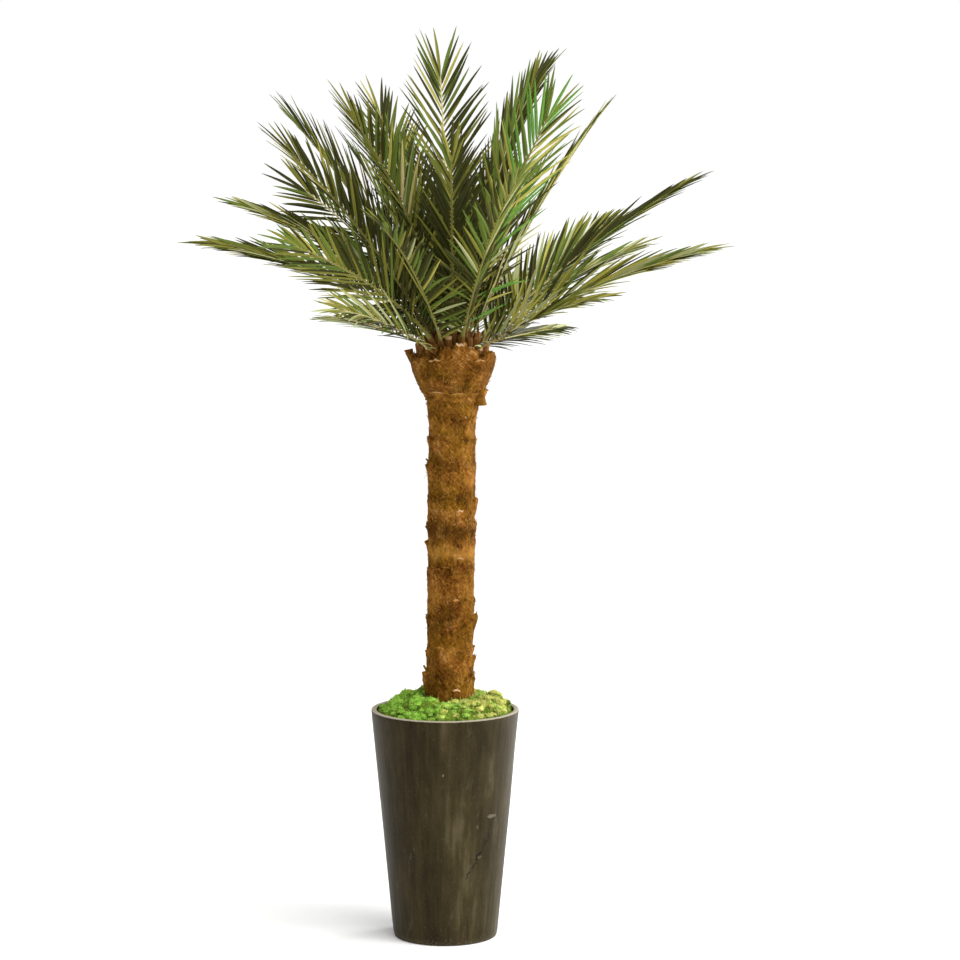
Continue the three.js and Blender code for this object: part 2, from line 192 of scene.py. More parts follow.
class Thread:
    # a socket that can be added, multiplied and so on as a number
    def __init__(self, finish, socket):
        self.finish = finish
        self.socket = socket

    def maths(self, operation, first, second):
        return self.finish.add("ShaderNodeMath", {"operation": operation}, {0: first, 1: second})

    def __add__(self, other):
        return self.maths("ADD", self, other)

    def __radd__(self, other):
        return self.maths("ADD", other, self)

    def __sub__(self, other):
        return self.maths("SUBTRACT", self, other)

    def __rsub__(self, other):
        return self.maths("SUBTRACT", other, self)

    def __mul__(self, other):
        return self.maths("MULTIPLY", self, other)

    def __rmul__(self, other):
        return self.maths("MULTIPLY", other, self)

    def __truediv__(self, other):
        return self.maths("DIVIDE", self, other)

    def __rtruediv__(self, other):
        return self.maths("DIVIDE", other, self)


class Finish:
    # one material; add() makes any node, and shader maths is written on the threads it returns
    def __init__(self, name, roughness, specular):
        self.material = bpy.data.materials.new(name)
        self.material.use_nodes = True
        self.tree = self.material.node_tree
        self.shader = self.tree.nodes["Principled BSDF"]
        self.shader.inputs["Roughness"].default_value = roughness
        self.shader.inputs["Specular IOR Level"].default_value = specular
        self.place = self.add("ShaderNodeTexCoord", {}, {}, "Object")

    def add(self, kind, settings, sockets, output=0):
        node = self.tree.nodes.new(kind)
        for key, value in settings.items():
            if key == "stops":
                self.setStops(node.color_ramp, value)
            else:
                setattr(node, key, value)
        for key, value in sockets.items():
            if isinstance(value, Thread):
                self.tree.links.new(value.socket, node.inputs[key])
            else:
                node.inputs[key].default_value = value
        return Thread(self, node.outputs[output])

    @staticmethod
    def setStops(ramp, stops):
        while len(ramp.elements) < len(stops):
            ramp.elements.new(0.5)
        for element, (position, colour) in zip(ramp.elements, stops):
            element.position = position
            element.color = (*colour, 1)

    def axis(self, letter):
        return self.add("ShaderNodeSeparateXYZ", {}, {0: self.place}, letter)

    def magnitude(self, value):
        return self.add("ShaderNodeMath", {"operation": "ABSOLUTE"}, {0: value})

    def noise(self, scale, stretch, detail, roughness, place=None):
        spots = self.add("ShaderNodeMapping", {}, {0: place or self.place, 3: stretch})
        sockets = {"Vector": spots, "Scale": scale, "Detail": detail, "Roughness": roughness}
        return self.add("ShaderNodeTexNoise", {}, sockets, "Fac")

    def ramp(self, factor, *stops):
        return self.add("ShaderNodeValToRGB", {"stops": stops}, {0: factor}, "Color")

    def grey(self, factor, low, high):
        # factor spread from low..high to 0..1
        return self.add("ShaderNodeMapRange", {"clamp": True}, {0: factor, 1: low, 2: high, 3: 0.0, 4: 1.0})

    def blend(self, factor, first, second):
        settings = {"data_type": "RGBA", "blend_type": "MIX"}
        sockets = {0: factor, 6: self.colour(first), 7: self.colour(second)}
        return self.add("ShaderNodeMix", settings, sockets, 2)

    @staticmethod
    def colour(value):
        return (*value, 1) if isinstance(value, tuple) else value

    def feed(self, **links):
        names = {"colour": "Base Color", "roughness": "Roughness", "normal": "Normal"}
        for key, value in links.items():
            self.tree.links.new(value.socket, self.shader.inputs[names[key]])

    def plain(self, colour):
        self.shader.inputs["Base Color"].default_value = (*colour, 1)

    def bump(self, height, distance, strength=1.0):
        sockets = {"Strength": strength, "Distance": distance, "Height": height}
        return self.add("ShaderNodeBump", {}, sockets, "Normal")

    def shade(self):
        return self.add("ShaderNodeAttribute", {"attribute_name": "shade"}, {}, "Fac")


def plainFinish(name, colour, roughness, specular, grain):
    # one colour, with a fine grain of some scale and depth
    scale, depth = grain
    coat = Finish(name, roughness=roughness, specular=specular)
    coat.plain(colour)
    coat.feed(normal=coat.bump(coat.noise(scale, (1, 1, 1), 3, 0.6), depth, 0.7))
    return coat.material


# stage, camera and light

stageSet = {
    "floorRadius": 90,
    "floorDrop": 0.0005,
    "floorColour": (0.95, 0.95, 0.945),
    "camera": (0.106, -9.8, 2.5),
    "tilt": 83.59,
    "lens": 122.5,
    "backdrop": 1.0,
    "ambient": 0.52,
    "sun": {"place": (0.62, -0.50, 1.0), "strength": 2.6, "angle": 60},
    "lamps": [
        # name, place, what it is aimed at, size, power
        ("side_lamp", (5.0, -2.6, 2.4), (0, 0, 1.0), 2.2, 150),
        ("edge_lamp", (4.6, 3.4, 1.8), (0, 0, 0.7), 2.2, 255),
        ("left_lamp", (-3.4, -2.2, 4.2), (0, 0, 2.3), 1.4, 40),
    ],
}


def buildFloor():
    deselectAll()
    place = (0, 0, -stageSet["floorDrop"])
    bpy.ops.mesh.primitive_circle_add(
        vertices=64, radius=stageSet["floorRadius"], fill_type="NGON", location=place
    )
    floor = bpy.context.object
    floor.name = "studio_floor"
    paper = Finish("studioFloor", roughness=0.9, specular=0.1)
    paper.plain(stageSet["floorColour"])
    floor.data.materials.append(paper.material)


def buildBackdrop():
    # a white world that lights the plant more gently than it looks
    world = bpy.context.scene.world or bpy.data.worlds.new("studio")
    bpy.context.scene.world = world
    world.use_nodes = True
    tree = world.node_tree
    lit = tree.nodes["Background"]
    lit.inputs["Color"].default_value = (1, 1, 1, 1)
    lit.inputs["Strength"].default_value = stageSet["ambient"]
    seen = tree.nodes.new("ShaderNodeBackground")
    seen.inputs["Strength"].default_value = stageSet["backdrop"]
    seen.inputs["Color"].default_value = (1, 1, 1, 1)
    path = tree.nodes.new("ShaderNodeLightPath")
    either = tree.nodes.new("ShaderNodeMixShader")
    tree.links.new(path.outputs["Is Camera Ray"], either.inputs[0])
    tree.links.new(lit.outputs[0], either.inputs[1])
    tree.links.new(seen.outputs[0], either.inputs[2])
    tree.links.new(either.outputs[0], tree.nodes["World Output"].inputs["Surface"])


def addLamp(kind, name, place, aim, settings):
    deselectAll()
    bpy.ops.object.light_add(type=kind, location=place)
    lamp = bpy.context.object
    lamp.name = name
    lamp.rotation_euler = (Vector(aim) - Vector(place)).to_track_quat("-Z", "Y").to_euler()
    for key, value in settings.items():
        setattr(lamp.data, key, value)


def addCamera():
    deselectAll()
    bpy.ops.object.camera_add(location=stageSet["camera"])
    camera = bpy.context.object
    camera.rotation_euler = Euler((math.radians(stageSet["tilt"]), 0, 0))
    camera.data.lens = stageSet["lens"]
    camera.data.clip_end = 200
    bpy.context.scene.camera = camera
    bpy.context.scene.view_settings.view_transform = "Standard"


def buildStage():
    buildFloor()
    buildBackdrop()
    sun = stageSet["sun"]
    sunSettings = {"energy": sun["strength"], "angle": math.radians(sun["angle"])}
    addLamp("SUN", "soft_sun", sun["place"], (0, 0, 0), sunSettings)
    for name, place, aim, size, power in stageSet["lamps"]:
        addLamp("AREA", name, place, aim, {"shape": "DISK", "size": size, "energy": power})
    addCamera()
    print("stage, lights and camera set")


buildStage()


# planter

planterSet = {
    "height": 0.700,
    "rimRadius": 0.225,
    "footRadius": 0.158,
    "wall": 0.017,
    "floor": 0.028,
    "around": 256,
    "rows": 150,
    # depth, how fine round the side and upwards, seed
    "relief": [(0.0010, 1.6, 5, 11), (0.0004, 24, 2.0, 12)],
    # small hollows: degrees round the side, height, width
    "pits": [
        (-92, 0.495, 0.005), (-59, 0.370, 0.006), (-64, 0.250, 0.005), (-120, 0.30, 0.004),
        (35, 0.41, 0.006), (140, 0.52, 0.005), (84, 0.21, 0.005), (-170, 0.44, 0.005),
    ],
    "pitDepth": 0.0026,
    # hairline cracks from one (x, height) to another, on the side that faces -Y
    "cracks": [
        ((0.150, 0.399), (0.112, 0.292)),
        ((0.112, 0.292), (0.061, 0.206)),
        ((0.112, 0.292), (0.097, 0.262)),
    ],
    # scuffed chips on that side: x, height, half width, half height
    "chips": [(0.141, 0.396, 0.013, 0.007), (0.101, 0.274, 0.011, 0.005), (-0.004, 0.534, 0.003, 0.005)],
    # a short upright seam at its foot: x, height
    "seam": (0.068, 0.085),
}
planterTones = {
    "body": [
        (0.0125, 0.0074, 0.0012), (0.0220, 0.0152, 0.0034),
        (0.0345, 0.0250, 0.0078), (0.0800, 0.0635, 0.0310),
    ],
    "dust": (0.12, 0.10, 0.065),
    "rub": (0.105, 0.088, 0.055),
    # the pale of a painted reflection along the rim
    "rim": (0.40, 0.36, 0.27),
    "chip": (0.18, 0.15, 0.098),
    "crack": (0.007, 0.0045, 0.0018),
}


def crackLine(clay, spot, start, end):
    # 1 along a straight crack that wavers a little
    (x0, z0), (x1, z1) = start, end
    reach = math.hypot(x1 - x0, z1 - z0)
    along = (spot["x"] - x0) * ((x1 - x0) / reach) + (spot["z"] - z0) * ((z1 - z0) / reach)
    off = (spot["x"] - x0) * ((z1 - z0) / reach) - (spot["z"] - z0) * ((x1 - x0) / reach)
    waver = clay.magnitude(off + (spot["waver"] - 0.5) * 0.034)
    inside = clay.grey(along, 0.0, 0.006) * clay.grey(reach - along, 0.0, 0.006)
    return inside * clay.grey(waver, 0.0046, 0.0012)


def chipPatch(clay, spot, x, height, wide, tall):
    across, upward = (spot["x"] - x) / wide, (spot["z"] - height) / tall
    away = across * across + upward * upward + (spot["grit"] - 0.5) * 3.2
    return clay.grey(away, 1.0, 0.3)


def planterFinish():
    clay = Finish("umberFibreStone", roughness=0.5, specular=0.1)
    streaks = clay.noise(15, (1, 1, 0.07), 6, 0.62)
    fine = clay.noise(62, (1, 1, 0.035), 3, 0.6)
    cloud = clay.noise(8, (1, 1, 0.55), 5, 0.62)
    speck = clay.noise(260, (1, 1, 1), 2, 0.5)
    scuff = clay.noise(23, (1, 1, 0.35), 6, 0.7)
    grain = streaks * 0.40 + fine * 0.20 + cloud * 0.40
    body = clay.ramp(grain, *zip((0.38, 0.46, 0.54, 0.66), planterTones["body"]))
    dusty = clay.blend(clay.grey(speck, 0.62, 0.74) * 0.3, body, planterTones["dust"])
    rubbed = clay.blend(clay.grey(scuff, 0.60, 0.74) * 0.45, dusty, planterTones["rub"])
    spot = {
        "x": clay.axis("X"),
        "z": clay.axis("Z"),
        "waver": clay.noise(48, (1, 1, 1), 3, 0.6),
        "grit": clay.noise(170, (1, 1, 1), 3, 0.6),
    }
    front = clay.grey(clay.axis("Y"), -0.02, -0.05)
    cracks = [crackLine(clay, spot, *ends) for ends in planterSet["cracks"]]
    crack = (cracks[0] + cracks[1] + cracks[2]) * front * clay.grey(spot["grit"], 0.32, 0.50)
    chips = [chipPatch(clay, spot, *chip) for chip in planterSet["chips"]]
    chip = (chips[0] + chips[1] + chips[2]) * front
    seamX, seamTop = planterSet["seam"]
    seam = clay.grey(clay.magnitude(spot["x"] - seamX), 0.0016, 0.0004)
    seam = seam * front * clay.grey(spot["z"], seamTop, seamTop - 0.015)
    pitted = clay.grey(clay.shade(), 0.35, 0.05)
    rim = planterSet["height"]
    # a pale band along the top of the rim: a painted reflection
    paintedRimSheen = clay.grey(spot["z"] + (speck - 0.5) * 0.003, rim - 0.0032, rim - 0.0012)
    foot = clay.grey(0.014 + (spot["grit"] - 0.5) * 0.10 - spot["z"], 0.0, 0.012)
    edged = clay.blend(paintedRimSheen * 0.9, rubbed, planterTones["rim"])
    marked = clay.blend(chip * 0.6 + pitted * 0.4, edged, planterTones["chip"])
    marked = clay.blend(crack * 0.8 + seam * 0.75, marked, planterTones["crack"])
    clay.feed(
        colour=clay.blend(foot * 0.3, marked, planterTones["dust"]),
        roughness=0.34 + streaks * 0.20 + paintedRimSheen * 0.3,
        normal=clay.bump(streaks * 0.6 + fine * 0.5 + speck * 0.3 - crack * 0.5 - seam * 0.6, 0.0012, 0.8),
    )
    return clay.material


def outerRadius(height):
    size = planterSet
    return size["footRadius"] + (size["rimRadius"] - size["footRadius"]) * height / size["height"]


def innerRadius(height):
    return outerRadius(height) - planterSet["wall"]


def planterLine():
    # up the outer side, over the rim and down the inner side, with more points where the line turns
    top = planterSet["height"]
    line = [(outerRadius(0) - 0.005, 0), (outerRadius(0.0015) - 0.0015, 0.0015), (outerRadius(0.005), 0.005)]
    line += [(outerRadius(z), z) for z in np.linspace(0.02, top - 0.004, 40)]
    line += [(outerRadius(top) - 0.0012, top - 0.0012), (outerRadius(top) - 0.004, top)]
    line += [(innerRadius(top) + 0.004, top), (innerRadius(top) + 0.0012, top - 0.0012)]
    line += [(innerRadius(top), top - 0.004)]
    line += [(innerRadius(z), z) for z in np.linspace(top - 0.03, planterSet["floor"], 12)]
    line = np.array(line)
    reach = lineReach(line)
    between = np.linspace(0, reach[-1], planterSet["rows"] - len(line) + 2)[1:-1]
    return pointsAlong(line, np.sort(np.concatenate([reach, between])))


def buildPlanter():
    line = planterLine()
    top, rows = planterSet["height"], len(line)
    piece = rollRing("planter", planterSet["around"], rows)
    row, angle = rowAndAngle(piece, rows)
    radius, height = line[row, 0], line[row, 1]
    wall = smoothStep(height / 0.05) * smoothStep((top - height) / 0.03)
    radius = radius + wall * ringRelief(angle, height, planterSet["relief"])
    pit = np.zeros(len(radius))
    for degrees, z, width in planterSet["pits"]:
        across = np.angle(np.exp(1j * (angle - math.radians(degrees)))) * 0.2
        away = np.hypot(across, (height - z) * 0.7)
        pit = np.maximum(pit, np.exp(-((away / width) ** 2)))
    radius = radius - planterSet["pitDepth"] * pit * wall
    setCoordinates(piece, onRing(0, angle, radius, height))
    setShade(piece, 0.5 - 0.5 * pit)
    shadeSmooth(piece, 40)
    piece.data.materials.append(planterFinish())
    finishPiece(piece, "pot", "pot")
    print("planter:", len(piece.data.polygons), "faces")


buildPlanter()


# trunk

trunkSet = {
    "foot": 0.6363,
    "top": 1.6497,
    "footX": 0.013,
    "headX": 0.024,
    "radius": 0.0695,
    "footFlare": 0.004,
    "neckFlare": 0.0085,
    # height, half height and lightness of the broad stains; the highest one is on the head's leaf bases
    "stains": [
        (1.735, 0.060, -0.13),
        (1.628, 0.016, -0.10), (1.548, 0.040, 0.08), (1.454, 0.018, -0.16), (1.402, 0.026, 0.08),
        (1.350, 0.018, -0.16), (1.248, 0.026, -0.43), (1.182, 0.022, 0.30), (1.134, 0.020, -0.16),
        (1.067, 0.026, 0.10), (0.960, 0.030, -0.20), (0.884, 0.026, 0.06), (0.798, 0.030, -0.18),
    ],
    "laps": [0.722, 0.795, 0.890, 0.981, 1.030, 1.128, 1.207, 1.271, 1.347, 1.442, 1.527, 1.590],
    "lip": 0.0062,
    "fray": 0.0026,
    # depth, how fine round the trunk and upwards, seed, twist: of the laps' ragged edges and of the matting
    "ragged": [(0.009, 2.1, 5.1, 21), (0.005, 9, 1, 22), (0.0035, 30, 3.7, 23)],
    "relief": [
        (0.0026, 1.9, 11, 26), (0.0017, 4.5, 30, 27), (0.0017, 13, 95, 28, 6), (0.0013, 22, 150, 29, -8),
        (0.0008, 55, 240, 30, 10),
    ],
    "around": 216,
    "rows": 420,
}
barkStops = (0.0, 0.36, 0.68, 1.0)
barkTones = {
    # golden matting, and the redder bark of the leaf bases
    "gold": [(0.038, 0.0155, 0.0014), (0.128, 0.0535, 0.0036), (0.235, 0.106, 0.0095), (0.42, 0.225, 0.06)],
    "rust": [(0.042, 0.0135, 0.0018), (0.152, 0.0555, 0.0060), (0.275, 0.112, 0.0190), (0.49, 0.275, 0.115)],
    "light": (0.46, 0.225, 0.042),
    "cut": (0.66, 0.455, 0.26),
}


def trunkMiddle(height):
    return np.interp(height, [trunkSet["foot"], trunkSet["top"]], [trunkSet["footX"], trunkSet["headX"]])


def fibreFinish(name, redness=0.0, paleness=0.0):
    coir = Finish(name, roughness=0.9, specular=0.03)
    height = coir.axis("Z")
    middle = coir.add("ShaderNodeVectorMath", {"operation": "SUBTRACT"}, {0: coir.place, 1: (0.019, 0, 0)})
    turned = []
    for twist in (13.0, -11.0):
        sockets = {"Vector": middle, "Center": (0, 0, 0), "Axis": (0, 0, 1), "Angle": height * twist}
        turned.append(coir.add("ShaderNodeVectorRotate", {"rotation_type": "AXIS_ANGLE"}, sockets))
    leanRight = coir.noise(225, (1, 1, 0.26), 3, 0.6, turned[0])
    leanLeft = coir.noise(260, (1, 1, 0.26), 3, 0.6, turned[1])
    clots = coir.noise(118, (1, 1, 0.8), 5, 0.7)
    mottle = coir.noise(21, (1, 1, 0.7), 4, 0.6)
    fibres = leanRight * 0.36 + leanLeft * 0.30 + clots * 0.34
    tone = coir.grey(fibres + (mottle - 0.5) * 0.42, 0.385, 0.66)
    gold, rust = (coir.ramp(tone, *zip(barkStops, barkTones[key])) for key in ("gold", "rust"))
    patch = coir.grey(coir.noise(9, (1, 1, 1.6), 3, 0.6) + redness, 0.44, 0.60)
    hue = coir.blend(patch, gold, rust)
    # the shade runs from dark through the plain fibre to light, and to the pale cut of a leaf base
    shade = coir.shade()
    dark = coir.blend(coir.grey(shade, 0.5, 0.0) * 0.85, hue, barkTones["gold"][0])
    light = coir.blend(coir.grey(shade, 0.5, 0.85) * 0.5 + paleness, dark, barkTones["light"])
    coir.feed(
        colour=coir.blend(coir.grey(shade, 0.86, 1.0) * 0.9, light, barkTones["cut"]),
        roughness=0.95 - fibres * 0.2,
        normal=coir.bump(fibres, 0.005, 1.0),
    )
    return coir.material


def stainAt(height):
    return sum(tone * np.exp(-(((height - z) / half) ** 2)) for z, half, tone in trunkSet["stains"])


def trunkSurface(angle, height):
    # radius and shade of the matting: torn laps that come and go round the trunk, each widening upwards
    bottom, end = trunkSet["foot"] - 0.05, trunkSet["top"] + 0.05
    band = np.zeros(len(angle), dtype=int)
    lower, upper = np.full(len(angle), bottom), np.full(len(angle), end)
    for k, lap in enumerate(trunkSet["laps"]):
        edge = lap + ringRelief(angle, k + 0 * angle, trunkSet["ragged"])
        above = height > edge
        band[above] = k + 1
        lower = np.where(above, edge, lower)
        upper = np.where(~above & (upper == end) & (band == k), edge, upper)
    part = np.clip((height - lower) / np.maximum(upper - lower, 0.02), 0, 1)
    # how far a lap stands off, and the one below it
    loose, looseBelow = (
        np.clip(0.42 + 1.5 * ringNoise(angle, lap * 2.3, 1.9, 1, 24), 0, 1.5) for lap in (band, band - 1)
    )
    lip = trunkSet["lip"] * loose * part**2.4
    tufts = np.clip(ringNoise(angle, band * 1.3, 17, 1, 25), 0, 1)
    fray = trunkSet["fray"] * tufts * smoothStep((part - 0.75) / 0.25) * loose
    flare = trunkSet["footFlare"] * np.exp((trunkSet["foot"] - height) / 0.09)
    neck = trunkSet["neckFlare"] * smoothStep((height - 1.565) / 0.075)
    relief = ringRelief(angle, height, trunkSet["relief"])
    radius = trunkSet["radius"] + flare + neck + lip + fray + relief
    # darker just above the edge of a loose lap
    shadow = np.exp(-(part * (upper - lower)) / 0.009) * looseBelow
    patch = ringNoise(angle, height, 2.6, 17, 31)
    speck = ringNoise(angle, height, 26, 190, 32)
    shade = 0.5 + 0.14 * patch + 0.12 * speck + stainAt(height + 0.018 * patch) - 0.30 * shadow
    return radius, shade


def trunkSkin(angle, height):
    return trunkSurface(angle, height)[0]


def buildTrunk():
    rows = trunkSet["rows"]
    piece = rollRing("trunk_matting", trunkSet["around"], rows)
    row, angle = rowAndAngle(piece, rows)
    height = trunkSet["foot"] + (trunkSet["top"] - trunkSet["foot"]) * row / (rows - 1)
    radius, shade = trunkSurface(angle, height)
    setCoordinates(piece, onRing(trunkMiddle(height), angle, radius, height))
    setShade(piece, shade)
    shadeSmooth(piece)
    piece.data.materials.append(fibreFinish("coirMatting"))
    finishPiece(piece, "trunk_fibre", "trunk")
    print("trunk matting:", len(piece.data.polygons), "faces")


buildTrunk()


# cut leaf bases and torn ends of matting: boards that lie on the trunk or the head

boardSet = {
    "cutHigh": 0.010,  # how far below the top the cut begins
    "cutSlope": 0.0060,  # how much lower its front edge is than its back
    "thickness": 0.0016,  # of a torn end, halfway up
    "sunk": 0.006,  # how deep a leaf base reaches into the matting
    "radius": 0.078,  # of the skin on which a board's width is measured
    "columns": 11,
    "levels": 8,
    # degrees round the trunk, foot, top, width at the foot and the top, how far each stands off at the foot
    # and the top, paleness of the cut
    "bases": [
        (-68, 1.240, 1.321, 0.046, 0.032, 0.001, 0.0060, 1.0),
        (-74, 0.992, 1.049, 0.040, 0.030, 0.000, 0.0055, 0.85),
        (-73, 0.716, 0.775, 0.040, 0.033, 0.002, 0.0090, 1.0),
        (-57, 1.512, 1.603, 0.016, 0.011, 0.002, 0.0035, 0.95),
        (-66, 1.118, 1.176, 0.036, 0.024, 0.000, 0.0050, 0.9),
        (-104, 1.098, 1.150, 0.044, 0.034, 0.000, 0.0045, 0.45),
        (-118, 0.850, 0.905, 0.046, 0.036, 0.000, 0.0050, 0.5),
        (-86, 1.390, 1.436, 0.040, 0.030, 0.000, 0.0040, 0.5),
        (-98, 0.905, 0.962, 0.040, 0.030, 0.000, 0.0045, 0.5),
        (189, 0.745, 0.822, 0.062, 0.055, 0.004, 0.0170, 0.55),
        (-150, 1.395, 1.460, 0.050, 0.036, 0.000, 0.0060, 0.4),
        (-20, 1.215, 1.262, 0.046, 0.036, 0.000, 0.0060, 0.4),
        (-160, 1.255, 1.300, 0.042, 0.036, 0.000, 0.0050, 0.4),
        (182, 0.858, 0.886, 0.040, 0.034, 0.000, 0.0065, 0.5),
        (-6, 1.290, 1.352, 0.044, 0.034, 0.001, 0.0070, 0.4),
    ],
    "moreBases": 26,  # mostly on the side that faces +Y
    # the same, but thin, torn and pointed
    "torn": [
        (-7, 0.905, 0.996, 0.036, 0.008, 0.001, 0.0150),
        (6, 0.950, 1.000, 0.030, 0.006, 0.000, 0.0120),
        (-5, 0.822, 0.872, 0.032, 0.008, 0.000, 0.0115),
        (-12, 0.774, 0.800, 0.034, 0.014, 0.000, 0.0060),
        (184, 0.806, 0.836, 0.030, 0.008, 0.002, 0.0120),
        (178, 1.425, 1.470, 0.040, 0.012, 0.000, 0.0060),
    ],
    "moreTorn": 60,
}


trunkCarrier = {"skin": trunkSkin, "middle": trunkMiddle, "slot": "trunk_fibre", "node": "trunk"}


def boardRows(rng, carrier, row, thin):
    # outer and inner rows of points of a board wrapped on a round skin; its top is cut slanting, or torn
    # where it is thin
    degrees, foot, top, footWidth, topWidth, footOff, topOff = row[:7]
    columns, levels = boardSet["columns"], boardSet["levels"]
    across = np.linspace(-1, 1, columns)
    edge = 1 - np.abs(across) ** (2.2 if thin else 4)
    ragged = 0.5 if thin else 0.12
    tall = (top - foot) * (1 - ragged * rng.random(columns) * (0.3 + 0.7 * np.abs(across)))
    stations = np.append(np.linspace(0, 1 - boardSet["cutHigh"] / (top - foot), levels - 1), 1)
    front, back = [], []
    for level, t in enumerate(stations):
        height = foot + tall * t
        width = footWidth + (topWidth - footWidth) * t
        angle = math.radians(degrees) + across * width / 2 / boardSet["radius"]
        skin = carrier["skin"](angle, height)
        off = (footOff + (topOff - footOff) * t ** (1.5 if thin else 0.8)) * edge - 0.0010 * (1 - edge)
        outer = skin + off + 0.0011 * rng.standard_normal(columns) * t
        inner = outer - boardSet["thickness"] * (1.5 - t) if thin else skin - boardSet["sunk"]
        cut = 0.0 if thin or level < levels - 1 else boardSet["cutSlope"]
        front.append(onRing(carrier["middle"](height - cut), angle, outer, height - cut))
        back.append(onRing(carrier["middle"](height), angle, inner, height))
    return front, back, stations, across


def boardFaces():
    # the same for every board: its front, its back and the strip round its rim
    columns, levels = boardSet["columns"], boardSet["levels"]
    grid = np.arange(columns * levels).reshape(levels, columns)
    faces = []
    for low, high in zip(grid, grid[1:]):
        for a, b, c, d in zip(low, low[1:], high[1:], high):
            faces += [(a, b, c, d), tuple(grid.size + i for i in (d, c, b, a))]
    rim = [*grid[0], *grid[1:, -1], *grid[-1, -2::-1], *grid[-2:0:-1, 0]]
    faces += [(b, a, grid.size + a, grid.size + b) for a, b in zip(rim, rim[1:] + rim[:1])]
    return [tuple(map(int, face)) for face in faces]


def boardShade(rng, row, stations, across, thin):
    # painted shade down the sides and at the foot, where the board meets the matting, and up to the paleness
    # of the cut along the top
    level = np.tile(np.repeat(stations, len(across)), 2)
    side = np.tile(np.abs(np.tile(across, len(stations))), 2)
    speckle = 0.06 * rng.standard_normal(len(level))
    if thin:
        return rng.uniform(0.36, 0.6) + 0.12 * level
    # painted shade down the sides, where the board meets the matting
    shade = 0.5 - 0.22 * side**3 + speckle
    shade = np.where(level > 0.999, 0.5 + 0.5 * row[7] * (1 - side**4), shade)
    # painted shade along the foot
    return np.where(level < 0.001, 0.30, shade)


def buildBoards(name, rows, carrier, material, seed, thin=False):
    rng = np.random.default_rng(seed)
    pattern = boardFaces()
    points, faces, shades, count = [], [], [], 0
    for row in rows:
        front, back, stations, across = boardRows(rng, carrier, row, thin)
        board = np.concatenate(front + back)
        shade = boardShade(rng, row, stations, across, thin)
        # the pale cuts take no stain
        shades.append(np.where(shade < 0.8, shade + stainAt(board[:, 2]), shade))
        points.append(board)
        faces += [tuple(i + count for i in quad) for quad in pattern]
        count += len(board)
    piece = meshFrom(name, np.concatenate(points), faces)
    setShade(piece, np.concatenate(shades))
    piece.data.materials.append(material)
    shadeSmooth(piece, 45)
    finishPiece(piece, carrier["slot"], carrier["node"])
    print(name + ":", len(rows), "boards")


def buildTrunkBoards():
    rng = np.random.default_rng(41)
    bases = list(boardSet["bases"])
    for _ in range(boardSet["moreBases"]):
        top = rng.uniform(0.78, 1.62)
        wide, tall = rng.uniform(0.028, 0.044), rng.uniform(0.045, 0.075)
        degrees = rng.uniform(10, 350) if rng.random() < 0.25 else rng.uniform(15, 165)
        off, cut = rng.uniform(0.003, 0.007), rng.uniform(0.2, 1)
        bases.append((degrees, top - tall, top, wide * 1.25, wide, 0.0, off, cut))
    torn = list(boardSet["torn"])
    for _ in range(boardSet["moreTorn"]):
        lap = trunkSet["laps"][rng.integers(1, len(trunkSet["laps"]))]
        foot = lap - rng.uniform(0.012, 0.03)
        wide = rng.uniform(0.018, 0.045)
        degrees, tall, off = rng.uniform(0, 360), rng.uniform(0.018, 0.034), rng.uniform(0.003, 0.008)
        torn.append((degrees, foot, foot + tall, wide, wide * 0.3, 0, off))
    buildBoards("trunk_leaf_bases", bases, trunkCarrier, fibreFinish("leafBaseBark", 0.10), 42)
    buildBoards("trunk_torn_ends", torn, trunkCarrier, bpy.data.materials["coirMatting"], 43, thin=True)


buildTrunkBoards()


# loose fibres

def hairMesh(roots, ways, lengths, bends, thick, steps=4):
    # three-sided tapering hairs, each bent a little on its way
    count = len(roots)
    ways = ways / np.linalg.norm(ways, axis=1, keepdims=True)
    side = np.cross(ways, np.array([0.31, 0.52, 0.80]))
    side /= np.linalg.norm(side, axis=1, keepdims=True)
    other = np.cross(ways, side)
    rings = []
    for step in range(steps):
        t = step / steps
        middle = roots + ways * lengths[:, None] * t + bends * lengths[:, None] * t * t
        width = (thick * (1 - 0.75 * t))[:, None]
        for k in range(3):
            turn = 2 * math.pi * k / 3
            rings.append(middle + width * (math.cos(turn) * side + math.sin(turn) * other))
    rings.append(roots + ways * lengths[:, None] + bends * lengths[:, None])
    points = np.stack(rings, axis=1)
    block = points.shape[1]
    pattern = [(2, 1, 0)]
    for step in range(steps - 1):
        low, high = step * 3, step * 3 + 3
        pattern += [(low + k, low + (k + 1) % 3, high + (k + 1) % 3, high + k) for k in range(3)]
    last = (steps - 1) * 3
    pattern += [(last + k, last + (k + 1) % 3, block - 1) for k in range(3)]
    faces = [tuple(i + n * block for i in face) for n in range(count) for face in pattern]
    return points.reshape(-1, 3), faces, len(pattern)


hairSet = {"trunk": 5200, "head": 1500, "thick": 0.00060}
hairTones = {
    "strawHair": (0.34, 0.180, 0.045),
    "rustHair": (0.205, 0.084, 0.016),
    "umberHair": (0.050, 0.020, 0.0035),
}


def hairWays(angle, outwards, sideways, upwards):
    # directions of hairs that lean so far out of a round skin, along it and up
    out = onRing(0, angle, 1, 0 * angle)
    along = np.stack([-np.sin(angle), np.cos(angle), 0 * angle], axis=1)
    return out * outwards + along * sideways + np.array([0, 0, 1]) * upwards


